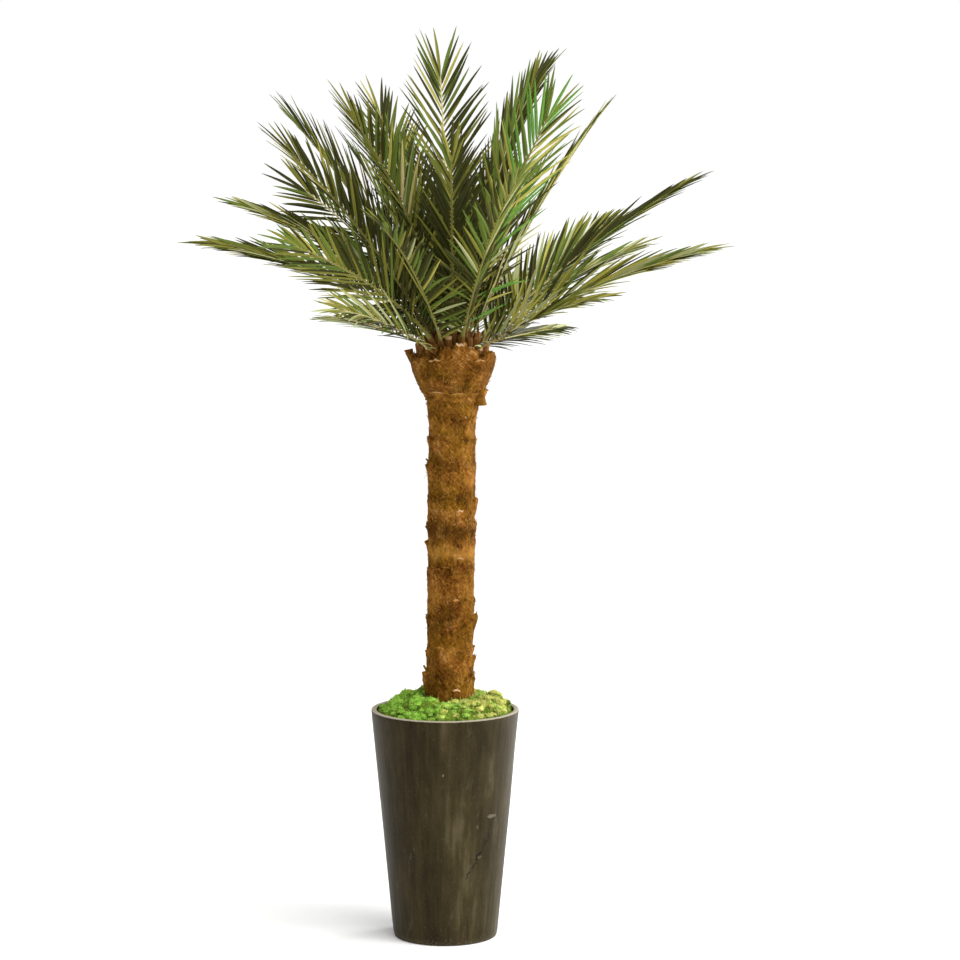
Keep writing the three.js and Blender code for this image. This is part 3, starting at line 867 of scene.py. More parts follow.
def buildHairs():
    rng = np.random.default_rng(52)
    count = hairSet["trunk"]
    laps = np.array(trunkSet["laps"])
    lap = laps[rng.integers(0, len(laps), count)]
    # most anywhere on the trunk, the others at the laps' edges
    stray = rng.random(count) < 0.85
    height = np.where(stray, rng.uniform(0.70, 1.645, count), lap + rng.normal(-0.004, 0.006, count))
    angle = rng.uniform(-math.pi, math.pi, count)
    roots = onRing(trunkMiddle(height), angle, trunkSkin(angle, height) - 0.001, height)
    out, side = rng.uniform(0.06, 0.42, (count, 1)), rng.normal(0, 0.7, (count, 1))
    ways = hairWays(angle, out, side, rng.uniform(-0.5, 1.1, (count, 1)))
    lengths = rng.uniform(0.007, 0.020, count)
    bends = -0.22 * onRing(0, angle, 1, 0 * angle) + rng.normal(0, 0.2, (count, 3))
    thick = hairSet["thick"] * rng.uniform(0.7, 1.7, count)
    points, faces, each = hairMesh(roots, ways, lengths, bends, thick)
    finishes = [plainFinish(name, tone, 0.8, 0.1, (900, 0.0002)) for name, tone in hairTones.items()]
    slots = np.repeat(rng.choice(3, count, p=[0.4, 0.4, 0.2]), each)
    piece = meshFrom("trunk_hairs", points, faces, slots, finishes)
    finishPiece(piece, "trunk_fibre", "trunk")
    print("trunk hairs:", count)


buildHairs()


# fronds

# heading, rise, droop (degrees), how late it bends (above 1 mostly near the tip), length, roll (degrees),
# spread of the leaflets at the foot and at the tip, tone, how far apart the leaflets stand
frondRows = [
    (98, 79, 16, 1.05, 0.98, 0, 1.15, 1.1, "dark", 1.32),
    (51, 74, 38, 2.2, 1, 20, 0.44, 0.35, "deep", 1.2),
    (310, 68, 20, 1.1, 0.92, -30, 1, 0.9, "bright", 1.45),
    (339, 63, 12, 1.4, 0.86, 25, 0.35, 0.12, "straw", 1),
    (18, 42, 16, 1.2, 0.91, 20, 0.95, 0.15, "deep", 1),
    (332, 34, 22, 0.8, 0.87, 40, 0.95, 0.18, "straw", 1),
    (38, 31, 18, 1.25, 0.79, 20, 0.8, 0.25, "grey", 1.15),
    (52, 32, 14, 1.2, 0.9, 20, 0.75, 0.6, "grey", 1.3),
    (60, 5, 6, 1.2, 0.67, 40, 0.42, 0.15, "deep", 1.15),
    (308, 23, 16, 1.4, 0.7, 40, 0.75, 0.25, "straw", 1.1),
    (219, 87, 40, 0.55, 0.88, 10, 1, 0.9, "olive", 1.05),
    (116, 59, 10, 1.2, 0.97, 0, 1, 0.95, "deep", 1.1),
    (146, 62, 22, 0.8, 0.96, 40, 0.95, 0.8, "deep", 1.1),
    (212, 58, 20, 1, 0.88, 10, 1, 0.8, "dark", 1.28),
    (164, 77, 45, 0.4, 0.76, -75, 1.2, 1.05, "dark", 1.1),
    (191, 83, 66, 0.35, 0.8, -50, 0.9, 0.12, "straw", 1.05),
    (205, 63, 54, 0.35, 0.86, -50, 1.15, 0.1, "olive", 1),
    (228, 56, 42, 0.4, 0.81, 50, 1.15, 0.8, "mid", 1.1),
    (238, 24, 22, 1.25, 0.64, -45, 0.8, 0.6, "grey", 1.25),
    (124, 10, 12, 1.2, 0.69, -10, 0.9, 0.7, "grey", 1.2),
    (270, 68, 26, 1.2, 0.8, 0, 1, 0.8, "dark", 1),
    (290, 58, 32, 1.2, 0.82, 25, 1, 0.8, "mid", 1),
    (250, 50, 36, 1.2, 0.76, -30, 1, 0.8, "mid", 1),
    (88, 46, 26, 1.2, 0.9, 0, 1, 0.8, "dark", 1),
    (76, 25, 30, 1.2, 0.88, 0, 1, 0.8, "grey", 1),
    (104, 24, 30, 1.2, 0.88, 0, 1, 0.8, "deep", 1),
    (278, 76, 18, 1.2, 0.5, 0, 0.8, 0.7, "deep", 1),
    (182, 75, 24, 1.2, 0.7, 0, 0.9, 0.8, "fresh", 1.2),
    (8, 73, 18, 1.2, 0.64, 0, 0.9, 0.8, "fresh", 1.25),
    (148, 76, 12, 1.2, 0.74, 0, 1, 0.9, "deep", 1),
    (68, 54, 22, 1.2, 0.82, 0, 1, 0.8, "deep", 1),
]
frondSet = {
    # the dome of the head, on which the fronds stand: height, rise in the middle, radius
    "domeTop": 1.784,
    "dome": 0.042,
    "rim": 0.130,
    # the flattest fronds leave it near its rim, and the steepest near its middle
    "seatFar": 0.116,
    "seatNear": 0.015,
    "flattest": 10,
    "steepest": 85,
    "sink": 0.030,  # how deep a stalk is set into the head
    "steps": 60,  # along a frond's curve
    "stalkShare": 0.15,  # of the length, below the blade
    "terminal": 0.15,  # the last leaflet, which carries the frond to its full length
    # width and thickness of the rib at the foot of the stalk, at the top of the stalk and at the tip
    "stalk": (0.0150, 0.0105),
    "throat": (0.0095, 0.0075),
    "tip": (0.0034, 0.0028),
    # the stalk spreads into a flat base where it leaves the head, brown at first and then golden
    "baseSpread": 0.60,
    "baseFade": 0.035,
    "brownUpTo": 0.022,
    "goldenUpTo": 0.2,
    "pitch": 0.0150,  # from one pair of leaflets to the next
    "firstLeaf": 0.045,  # share of the length below the first pair
    "ribRows": 44,
    "ribSides": 8,
}
leafletSet = {
    "longest": 0.245,
    "fullFrond": 0.96,  # length of the frond that has the longest
    "shortShare": 0.45,  # of that leaflet, kept however short the frond
    "lowest": 0.58,  # share of their length that the lowest ones have
    "taper": 0.38,  # share that those at the tip lack
    "lengths": (0.88, 1.05),
    "missing": 0.02,
    "halfWidth": 0.0054,
    "thickness": 0.0006,
    # degrees from the rib at the foot of the blade, and what is lost over its first and its last third
    "slant": 56,
    "slantLost": (22, 15),
    "leastAngle": 6,
    "closeBy": 1.5,  # how soon up the blade they are spread as at its tip
    # degrees that they rise out of the blade at its foot, what is lost on the way up, and how far every
    # other pair stands above that and the rest below it
    "lift": 30,
    "liftLost": 10,
    "rank": 5,
    # how much they vary, in degrees, shares of the pitch and of the length, and radians
    "slantNoise": 2.2,
    "liftNoise": 3,
    "shiftNoise": 0.10,
    "hookNoise": 0.024,
    "twistNoise": 0.24,
    "tips": (1.15, 1.08, 1.0),
    "fold": 0.42,
    "sag": 0.075,
    "stations": [0.0, 0.035, 0.18, 0.4, 0.62, 0.82, 0.94],
    "outline": [0.50, 0.58, 0.95, 1.0, 0.84, 0.53, 0.26],
    # the share of leaflets that turn dark near the foot, as painted shade, and of dark ones that turn
    # lighter near the tip, as painted light
    "darkened": 0.55,
    "lightened": 0.35,
}
leafTones = {
    "leafDeep": (0.042, 0.0435, 0.0066),
    "leafOlive": (0.186, 0.184, 0.0280),
    "leafMid": (0.110, 0.157, 0.0230),
    "leafYellow": (0.385, 0.350, 0.0700),
    "leafGrey": (0.360, 0.375, 0.1700),
    "leafFresh": (0.118, 0.265, 0.0360),
    "leafDry": (0.500, 0.410, 0.1700),
    "leafFoot": (0.255, 0.220, 0.0520),
}
# how often a leaflet takes each colour above; the last colour is for the leaflets' feet
toneShares = {
    "olive": (0.30, 0.31, 0.26, 0.08, 0.04, 0.00, 0.01),
    "dark": (0.70, 0.14, 0.12, 0.03, 0.01, 0.00, 0.00),
    "deep": (0.58, 0.18, 0.19, 0.04, 0.01, 0.00, 0.00),
    "grey": (0.12, 0.26, 0.18, 0.07, 0.36, 0.00, 0.01),
    "straw": (0.11, 0.30, 0.18, 0.24, 0.15, 0.00, 0.02),
    "mid": (0.36, 0.16, 0.43, 0.03, 0.02, 0.00, 0.00),
    "fresh": (0.20, 0.18, 0.34, 0.05, 0.03, 0.20, 0.00),
    "bright": (0.07, 0.12, 0.24, 0.12, 0.03, 0.42, 0.00),
}
ribTones = {
    "stalkGold": (0.200, 0.140, 0.030),
    "stalkBrown": (0.170, 0.080, 0.018),
    "ribCream": (0.560, 0.500, 0.270),
    "ribOlive": (0.200, 0.190, 0.042),
}


def domeHeight(radius):
    return frondSet["domeTop"] + frondSet["dome"] * (1 - (radius / frondSet["rim"]) ** 2)


def frondLine(row):
    # points, and the directions along, across and out of the blade, at any share of the length
    heading, rise, droop, bend, length, roll = row[:6]
    outward = np.array([math.cos(math.radians(heading)), math.sin(math.radians(heading)), 0])
    up = np.array([0, 0, 1.0])
    flattest, steepest = frondSet["flattest"], frondSet["steepest"]
    share = min(max((rise - 0.45 * droop - flattest) / (steepest - flattest), 0), 1)
    seat = frondSet["seatFar"] + (frondSet["seatNear"] - frondSet["seatFar"]) * share
    start = np.array([trunkSet["headX"], 0, domeHeight(seat)]) + outward * seat
    cosine, sine = math.cos(math.radians(roll)), math.sin(math.radians(roll))

    def framesAt(s):
        pitch = np.radians(rise - droop * np.maximum(s, 0) ** bend)[:, None]
        along = outward * np.cos(pitch) + up * np.sin(pitch)
        face = up * np.cos(pitch) - outward * np.sin(pitch)
        across = np.cross(face, along)
        return along, across * cosine + face * sine, face * cosine - across * sine

    steps = frondSet["steps"]
    middles, _, _ = framesAt((np.arange(steps) + 0.5) / steps)
    places = start + np.concatenate([np.zeros((1, 3)), np.cumsum(middles * length / steps, axis=0)])
    grid = np.linspace(0, 1, steps + 1)

    def pointsAt(s):
        inside = np.stack([np.interp(s, grid, places[:, k]) for k in range(3)], axis=1)
        along, _, _ = framesAt(np.zeros(len(s)))
        return inside + along * (np.minimum(s, 0) * length)[:, None]

    return pointsAt, framesAt


def ribSize(s):
    stalkShare = frondSet["stalkShare"]
    stalk, throat, tip = (np.array(frondSet[key]) for key in ("stalk", "throat", "tip"))
    low = smoothStep(s / stalkShare)[:, None]
    high = np.clip((s - stalkShare) / (1 - stalkShare), 0, 1)[:, None]
    below = (s < stalkShare)[:, None]
    return np.where(below, stalk + (throat - stalk) * low, throat + (tip - throat) * high)


def ribTone(tone, far, upper):
    # the colour of a face of the rib, so far from the head, on its upper or its under side; the upper side's
    # cream is the rib's pale colour with a painted highlight
    if far < frondSet["brownUpTo"]:
        return "stalkBrown"
    if tone == "mid":
        return "ribOlive"
    if far < frondSet["goldenUpTo"]:
        return "stalkGold"
    # the rib's own pale colour with a painted highlight on the upper side
    return "ribCream" if upper else "ribOlive"


def buildRib(row, name, finishes):
    length, tone = row[4], row[8]
    pointsAt, framesAt = frondLine(row)
    rows, sides = frondSet["ribRows"], frondSet["ribSides"]
    end = 1 - frondSet["terminal"] / length * 0.94
    s = np.concatenate([[-frondSet["sink"] / length], np.linspace(0, end, rows - 1)])
    middle = pointsAt(s)
    _, across, face = framesAt(s)
    size = ribSize(s)
    base = 1 + frondSet["baseSpread"] * np.exp(-np.maximum(s, 0) * length / frondSet["baseFade"])
    rings = []
    for k in range(sides):
        turn = 2 * math.pi * (k + 0.5) / sides
        wide, high = math.cos(turn), math.sin(turn)
        flat = 0.62 if high > 0 else 1.0  # flatter above, rounded below
        sideways = across * (wide * size[:, 0] * 0.42 * base)[:, None]
        rings.append(middle + sideways + face * (high * flat * size[:, 1] * 0.46)[:, None])
    points = np.stack(rings, axis=1).reshape(-1, 3)
    faces, tones = [tuple(range(sides))], ["stalkBrown"]
    for i in range(rows - 1):
        low, high = i * sides, (i + 1) * sides
        for k in range(sides):
            n = (k + 1) % sides
            faces.append((high + k, high + n, low + n, low + k))
            tones.append(ribTone(tone, s[i] * length, k < sides / 2))
    faces.append(tuple(reversed(range((rows - 1) * sides, rows * sides))))
    tones.append("ribCream")
    slots = [list(ribTones).index(each) for each in tones]
    piece = meshFrom(name, points, faces, slots, finishes)
    shadeSmooth(piece, 60)
    return piece


def bladeShare(s, row):
    # how far up the blade, from the top of the stalk to the last leaflet
    stalk = frondSet["stalkShare"]
    return np.clip((s - stalk) / (1 - stalk - frondSet["terminal"] / row[4]), 0, 1)


def leafletPlaces(row, rng):
    # share of the frond's length, side of the rib and length of every leaflet but the last three
    length, apart = row[4], row[9]
    first = frondSet["firstLeaf"]
    room = length * (1 - first) - frondSet["terminal"]
    pairs = int(round(room / (frondSet["pitch"] * apart)))
    sides = np.tile([1.0, -1.0], pairs)
    shift = np.where(sides > 0, 0.0, 0.45) + rng.normal(0, leafletSet["shiftNoise"], pairs * 2)
    s = first + (np.repeat(np.arange(pairs), 2) + shift) * room / pairs / length
    keep = rng.random(len(s)) > leafletSet["missing"]
    s, sides = s[keep], sides[keep]
    # the lowest ones are shorter
    size = leafletSet["shortShare"] + (1 - leafletSet["shortShare"]) * length / leafletSet["fullFrond"]
    lowest = leafletSet["lowest"]
    span = leafletSet["longest"] * size * (lowest + (1 - lowest) * smoothStep((s - first) / 0.26))
    # so are those near the tip, though less where they stand far apart
    taper = (leafletSet["taper"] - 0.4 * (apart - 1)) * smoothStep((bladeShare(s, row) - 0.5) / 0.5)
    return s, sides, span * rng.uniform(*leafletSet["lengths"], len(s)) * (1 - taper)


def leafletFrames(row, rng):
    # place on the rib, root, direction, breadth, thickness and length of every leaflet of one frond
    length, spread, close = row[4], row[6], row[7]
    pointsAt, framesAt = frondLine(row)
    s, sides, span = leafletPlaces(row, rng)
    u = bladeShare(s, row)
    opening = spread + (close - spread) * smoothStep(leafletSet["closeBy"] * u)
    firstLost, lastLost = leafletSet["slantLost"]
    slant = leafletSet["slant"] - firstLost * smoothStep(u / 0.35) - lastLost * smoothStep((u - 0.7) / 0.3)
    slant = opening * slant + rng.normal(0, leafletSet["slantNoise"], len(s))
    angle = np.radians(np.maximum(slant, leafletSet["leastAngle"]))
    rank = np.where(np.arange(len(s)) // 2 % 2 == 0, leafletSet["rank"], -leafletSet["rank"])
    lift = leafletSet["lift"] - leafletSet["liftLost"] * u + rank
    lift = np.radians(lift + rng.normal(0, leafletSet["liftNoise"], len(s)))
    # the last leaflet, with a shorter one on each side of it
    last = 1 - frondSet["terminal"] / length
    s = np.concatenate([s, [last, last - 0.008, last - 0.016]])
    sides = np.concatenate([sides, [1.0, 1.0, -1.0]])
    span = np.concatenate([span, frondSet["terminal"] * np.array(leafletSet["tips"])])
    angle = np.concatenate([angle, np.radians([0.5, 12 * close, 14 * close])])
    lift = np.concatenate([lift, np.radians([0, 12, 12])])
    along, across, face = framesAt(s)
    out = across * (sides * np.cos(lift))[:, None] + face * np.sin(lift)[:, None]
    ahead = along * np.cos(angle)[:, None] + out * np.sin(angle)[:, None]
    broad = along - ahead * np.sum(along * ahead, axis=1, keepdims=True)
    # a leaflet that lies along the rib takes its breadth from the blade
    lying = np.linalg.norm(broad, axis=1) < 0.05
    broad[lying] = across[lying]
    broad /= np.linalg.norm(broad, axis=1, keepdims=True)
    thick = np.cross(broad, ahead) * sides[:, None]
    # the upper face of a leaflet looks the same way as the blade's
    thick = thick * np.sign(np.sum(thick * face, axis=1, keepdims=True))
    roots = pointsAt(s) + across * (sides * ribSize(s)[:, 0] * 0.36)[:, None]
    return s, roots, ahead, broad, thick, span


def dealTones(rng, tone, s):
    # a colour for each leaflet: darker near the foot of the frond, as painted shade in the crown, and
    # lighter near its tip, as painted light
    shares = np.array(toneShares[tone])
    tones = rng.choice(len(shares), len(s), p=shares / shares.sum())
    deep, olive, grey = (list(leafTones).index(name) for name in ("leafDeep", "leafOlive", "leafGrey"))
    # painted shade: leaflets near the foot of the frond, deep in the crown, turn dark
    inner = rng.random(len(s)) < leafletSet["darkened"] * smoothStep((0.55 - s) / 0.4)
    tones = np.where((tones > deep) & (tones < grey) & inner, deep, tones)
    # painted light: dark leaflets near the tip turn olive
    outer = rng.random(len(s)) < leafletSet["lightened"] * smoothStep((s - 0.45) / 0.5)
    return np.where((tones == deep) & outer, olive, tones)


def buildLeaflets(row, name, rng, finishes):
    s, roots, ahead, broad, thick, span = leafletFrames(row, rng)
    count = len(roots)
    down = np.array([0, 0, -1.0])
    level = np.sqrt(np.clip(1 - ahead[:, 2] ** 2, 0, 1))
    sag = (leafletSet["sag"] * rng.uniform(0.5, 1.6, count) * level)[:, None]
    hook = rng.normal(0, leafletSet["hookNoise"], count)[:, None]
    twist = rng.normal(0, leafletSet["twistNoise"], count)[:, None]
    span = span[:, None]
    rings = []
    for t, outline in zip(leafletSet["stations"], leafletSet["outline"]):
        middle = roots + span * (ahead * t + down * sag * t * t + broad * hook * t * t)
        wide = broad * np.cos(twist * t) + thick * np.sin(twist * t)
        upward = thick * np.cos(twist * t) - broad * np.sin(twist * t)
        half = leafletSet["halfWidth"] * outline * (0.72 + 0.28 * span / leafletSet["longest"])
        fold = upward * leafletSet["fold"] * half
        skin = upward * leafletSet["thickness"]
        rings += [middle + wide * half + fold, middle + skin, middle - wide * half + fold, middle - skin]
    rings.append(roots + span * (ahead + down * sag + broad * hook))
    points = np.stack(rings, axis=1)
    block, stations = points.shape[1], len(leafletSet["stations"])
    # four-sided rings that end in a point; the first five faces are the leaflet's foot
    pattern = [(0, 1, 2, 3)]
    for low in range(0, 4 * (stations - 1), 4):
        pattern += [(low + k, low + 4 + k, low + 4 + (k + 1) % 4, low + (k + 1) % 4) for k in range(4)]
    last = (stations - 1) * 4
    pattern += [(last + k, block - 1, last + (k + 1) % 4) for k in range(4)]
    # a leaflet whose breadth runs the other way round has its faces turned
    handed = np.einsum("ij,ij->i", np.cross(broad, thick), ahead) > 0
    faces = []
    for n in range(count):
        for face in pattern:
            moved = tuple(i + n * block for i in face)
            faces.append(moved if handed[n] else tuple(reversed(moved)))
    slots = np.repeat(dealTones(rng, row[8], s)[:, None], len(pattern), axis=1)
    slots[:, :5] = list(leafTones).index("leafFoot")
    return meshFrom(name, points.reshape(-1, 3), faces, slots.ravel(), finishes)


def buildFronds():
    leaves = [plainFinish(name, tone, 0.5, 0.10, (420, 0.0006)) for name, tone in leafTones.items()]
    ribs = [plainFinish(name, tone, 0.55, 0.12, (260, 0.0008)) for name, tone in ribTones.items()]
    total = 0
    for i, row in enumerate(frondRows):
        node = f"frond_{i + 1:02d}"
        rng = np.random.default_rng(700 + i)
        rib = buildRib(row, f"{node}_rib", ribs)
        finishPiece(rib, "fronds", node)
        blade = buildLeaflets(row, f"{node}_leaflets", rng, leaves)
        finishPiece(blade, "fronds", node)
        total += len(blade.data.polygons) + len(rib.data.polygons)
    print("fronds:", len(frondRows), "with", total, "faces")


buildFronds()


# head: flare of matting, cut leaf stubs and frayed hairs

headSet = {
    "foot": 1.648,
    "rim": 1.772,
    "neck": 0.0815,
    "rimRadius": 0.1265,
    "bow": 1.85,
    "around": 208,
    "rows": 190,
    # depth, how fine round the head and upwards, seed, twist: of the matting and of its torn rim
    "relief": [
        (0.0022, 3, 14, 61), (0.0018, 7, 40, 62), (0.0017, 22, 110, 63, 7), (0.0013, 30, 160, 64, -9),
        (0.0008, 60, 240, 65),
    ],
    "torn": [(0.007, 7, 1, 66), (0.005, 24, 1, 67)],
    # leaf bases round the rim: degrees, foot, top, width at the foot and the top, how far each stands off at
    # the foot and the top, paleness of the cut
    "bases": [
        (-178, 1.690, 1.786, 0.060, 0.034, 0.001, 0.0045, 0.35),
        (-152, 1.684, 1.770, 0.062, 0.034, 0.000, 0.0035, 0.75),
        (-133, 1.700, 1.782, 0.052, 0.026, 0.000, 0.0030, 0.30),
        (-115, 1.676, 1.777, 0.064, 0.032, 0.001, 0.0045, 1.00),
        (-96, 1.690, 1.812, 0.056, 0.028, 0.000, 0.0030, 0.25),
        (-79, 1.682, 1.824, 0.060, 0.027, 0.001, 0.0040, 1.00),
        (-62, 1.700, 1.808, 0.052, 0.026, 0.000, 0.0030, 0.30),
        (-49, 1.684, 1.777, 0.062, 0.032, 0.001, 0.0045, 0.95),
        (-27, 1.690, 1.796, 0.060, 0.034, 0.000, 0.0040, 0.35),
        (-4, 1.684, 1.784, 0.062, 0.032, 0.001, 0.0045, 0.50),
        (178, 1.748, 1.797, 0.034, 0.012, 0.001, 0.0190, 0.20),
    ],
    "behind": 8,  # more of them, on the side that faces +Y
    # matting ends tucked in under the flare, and last a loose one that sticks out
    "collar": [
        (-118, 1.643, 1.678, 0.070, 0.060, 0.0035, 0.0015, 0.9),
        (-78, 1.640, 1.674, 0.060, 0.050, 0.0035, 0.0015, 0.8),
        (-44, 1.640, 1.672, 0.050, 0.040, 0.0030, 0.0010, 0.7),
        (170, 1.642, 1.674, 0.070, 0.050, 0.0030, 0.0010, 0.6),
        (60, 1.642, 1.676, 0.080, 0.060, 0.0030, 0.0010, 0.6),
        (115, 1.642, 1.676, 0.080, 0.060, 0.0030, 0.0010, 0.6),
        (-10, 1.628, 1.680, 0.072, 0.060, 0.0230, 0.0105, 0.5),
    ],
    # upright stubs between the stalks: ring radius, how many, turn, top, width, thickness, height
    "stubs": [
        (0.106, 18, 4, 1.818, 0.030, 0.015, 0.080),
        (0.080, 14, 30, 1.842, 0.030, 0.016, 0.090),
        (0.054, 10, 12, 1.856, 0.030, 0.016, 0.090),
        (0.022, 4, 12, 1.862, 0.026, 0.016, 0.080),
    ],
    "nearStalk": 0.022,
    "paleCuts": 0.22,
}


def headRadius(height):
    part = np.clip((height - headSet["foot"]) / (headSet["rim"] + 0.012 - headSet["foot"]), 0, 1)
    return headSet["neck"] + (headSet["rimRadius"] - headSet["neck"]) * (1 - (1 - part) ** headSet["bow"])


def headSkin(angle, height):
    return headRadius(height)


def collarSkin(angle, height):
    return np.maximum(headRadius(height) - 0.001, 0.0795)


def headMiddle(height):
    return trunkSet["headX"] + 0 * height


headCarrier = {"skin": headSkin, "middle": headMiddle, "slot": "head_fibre", "node": "head"}


def headLine():
    # up the flare, over its rim and in across the dome that carries the fronds
    foot, rim = headSet["foot"], headSet["rim"]
    line = [(headSet["neck"] - 0.008, foot)]
    line += [(float(headRadius(z)), z) for z in np.linspace(foot + 0.003, rim, 30)]
    line += [(headSet["rimRadius"] - 0.007, rim + 0.004), (headSet["rimRadius"] - 0.016, rim)]
    line += [(r, domeHeight(r) - 0.004) for r in np.linspace(0.104, 0.004, 24)]
    line = np.array(line)
    return pointsAlong(line, np.linspace(0, lineReach(line)[-1], headSet["rows"]))


def buildHead():
    rim, rows = headSet["rim"], headSet["rows"]
    line = headLine()
    piece = rollRing("head_matting", headSet["around"], rows)
    row, angle = rowAndAngle(piece, rows)
    radius, height = line[row, 0].copy(), line[row, 1].copy()
    reach = lineReach(line)
    rimReach = reach[np.abs(line[:, 1] - rim).argmin()]
    reach = reach[row]
    side = smoothStep((rimReach - reach) / 0.02 + 0.5)
    nearRim = np.exp(-(((reach - rimReach) / 0.014) ** 2))
    # rough on the flare, torn along the rim and lumpy on the dome
    radius += side * ringRelief(angle, height, headSet["relief"])
    height += nearRim * ringRelief(angle, 0 * angle, headSet["torn"])
    height += (1 - side) * 0.006 * softNoise(onRing(0, angle, radius, height), 60, 68)
    setCoordinates(piece, onRing(trunkSet["headX"], angle, radius, height))
    # the dome under the stubs and stalks gets painted shade, deepest in its middle and easing towards the
    # rim
    hollow = 1 - smoothStep((headSet["rimRadius"] - 0.004 - radius) / 0.03)
    patch = 0.15 * ringNoise(angle, height, 3, 20, 69)
    speck = 0.12 * ringNoise(angle, height, 26, 190, 70)
    shade = np.where(reach > rimReach, 0.16 + 0.2 * hollow, 0.36 + patch + speck)
    # a dark line of painted shade where the flare meets the trunk
    setShade(piece, shade - 0.2 * np.exp(-(((height - headSet["foot"] - 0.005) / 0.004) ** 2)))
    shadeSmooth(piece)
    piece.data.materials.append(bpy.data.materials["coirMatting"])
    finishPiece(piece, "head_fibre", "head")
    print("head matting:", len(piece.data.polygons), "faces")


buildHead()


def buildHeadBoards():
    rng = np.random.default_rng(74)
    bases = list(headSet["bases"])
    for k in range(headSet["behind"]):
        degrees = 18 + 144 * k / (headSet["behind"] - 1) + rng.normal(0, 3)
        top, off, cut = rng.uniform(1.768, 1.808), rng.uniform(0.003, 0.005), rng.uniform(0.3, 1)
        bases.append((degrees, 1.69, top, 0.06, 0.032, 0.0, off, cut))
    buildBoards("head_leaf_bases", bases, headCarrier, fibreFinish("headBaseBark", 0.03), 75)
    collarCarrier = {**headCarrier, "skin": collarSkin}
    buildBoards("head_collar", headSet["collar"], collarCarrier, fibreFinish("collarBark", 0.06, 0.05), 76)


buildHeadBoards()


def stubFinish():
    wood = Finish("cutStub", roughness=0.75, specular=0.1)
    grain = wood.noise(190, (1, 1, 0.12), 4, 0.6)
    dots = wood.noise(520, (1, 1, 1), 2, 0.5)
    bark = wood.ramp(
        grain * 0.8 + dots * 0.2,
        (0.3, barkTones["rust"][0]),
        (0.5, (0.165, 0.068, 0.012)),
        (0.72, (0.33, 0.165, 0.042)),
    )
    cut = wood.ramp(dots * 0.6 + grain * 0.4, (0.32, (0.28, 0.15, 0.060)), (0.6, (0.56, 0.37, 0.18)))
    wood.feed(
        colour=wood.blend(wood.grey(wood.shade(), 0.45, 0.55), bark, cut),
        normal=wood.bump(grain * 0.7 + dots * 0.3, 0.0015),
    )
    return wood.material


def makeStub(radius, degrees, top, size, rng):
    wide, thick, tall = size
    deselectAll()
    bpy.ops.mesh.primitive_cube_add(size=1, location=(0, 0, -0.5))
    stub = bpy.context.object
    stub.name = "stub"
    stub.scale = (thick, wide, tall)
    bpy.ops.object.transform_apply(location=True, rotation=True, scale=True)
    bpy.ops.object.mode_set(mode="EDIT")
    bpy.ops.mesh.select_all(action="SELECT")
    bpy.ops.mesh.subdivide(number_cuts=5)
    bpy.ops.object.mode_set(mode="OBJECT")
    points = coordinates(stub)
    points[:, 2] -= points[:, 2].max()
    part = -points[:, 2] / tall
    # crescent section that widens downwards, with rounded corners and a slanting cut
    side = points[:, 1] / (wide / 2)
    points[:, 0] *= (1 - 0.55 * side**2) * (1 + 0.25 * part)
    points[:, 0] -= 0.16 * wide * side**2
    points[:, 1] *= 1 + 0.35 * part
    points[:, 2] -= (0.42 * points[:, 0] + 0.10 * points[:, 1]) * (1 - part)
    rough = [softNoise(points + seed * 0.37, 160, 80 + seed) for seed in range(3)]
    setCoordinates(stub, points + 0.0011 * np.stack(rough, axis=1))
    cut = 1.0 if rng.random() < headSet["paleCuts"] else 0.0
    setShade(stub, np.where(part < 0.04, cut, 0.0))
    # leaning outwards, more so near the rim
    angle = math.radians(degrees)
    stub.rotation_euler = Euler((rng.normal(0, 0.06), math.radians(10 * radius / 0.12), angle), "XYZ")
    stub.location = (trunkSet["headX"] + math.cos(angle) * radius, math.sin(angle) * radius, top)
    activate(stub)
    bpy.ops.object.transform_apply(location=True, rotation=True, scale=True)
    return stub


def buildStubs():
    rng = np.random.default_rng(71)
    stalks = [frondLine(row)[0](np.array([0.0, 0.03])) for row in frondRows]
    stubs = []
    for radius, count, turn, top, wide, thick, tall in headSet["stubs"]:
        for k in range(count):
            degrees = 360 * k / count + turn + rng.normal(0, 3)
            angle = math.radians(degrees)
            spot = np.array([trunkSet["headX"] + math.cos(angle) * radius, math.sin(angle) * radius])
            nearest = min(np.linalg.norm(stalk[:, :2] - spot, axis=1).min() for stalk in stalks)
            # smaller and lower where a stalk comes close
            free = nearest > headSet["nearStalk"]
            scale = rng.uniform(0.8, 1.1) if free else 0.65
            height = top + rng.normal(0, 0.007) - (0 if free else 0.008)
            stubs.append(makeStub(radius, degrees, height, (wide * scale, thick * scale, tall), rng))
    piece = joinPieces("head_stubs", stubs)
    piece.data.materials.append(stubFinish())
    shadeSmooth(piece, 40)
    finishPiece(piece, "head_fibre", "head")
    print("cut stubs:", len(stubs))


buildStubs()


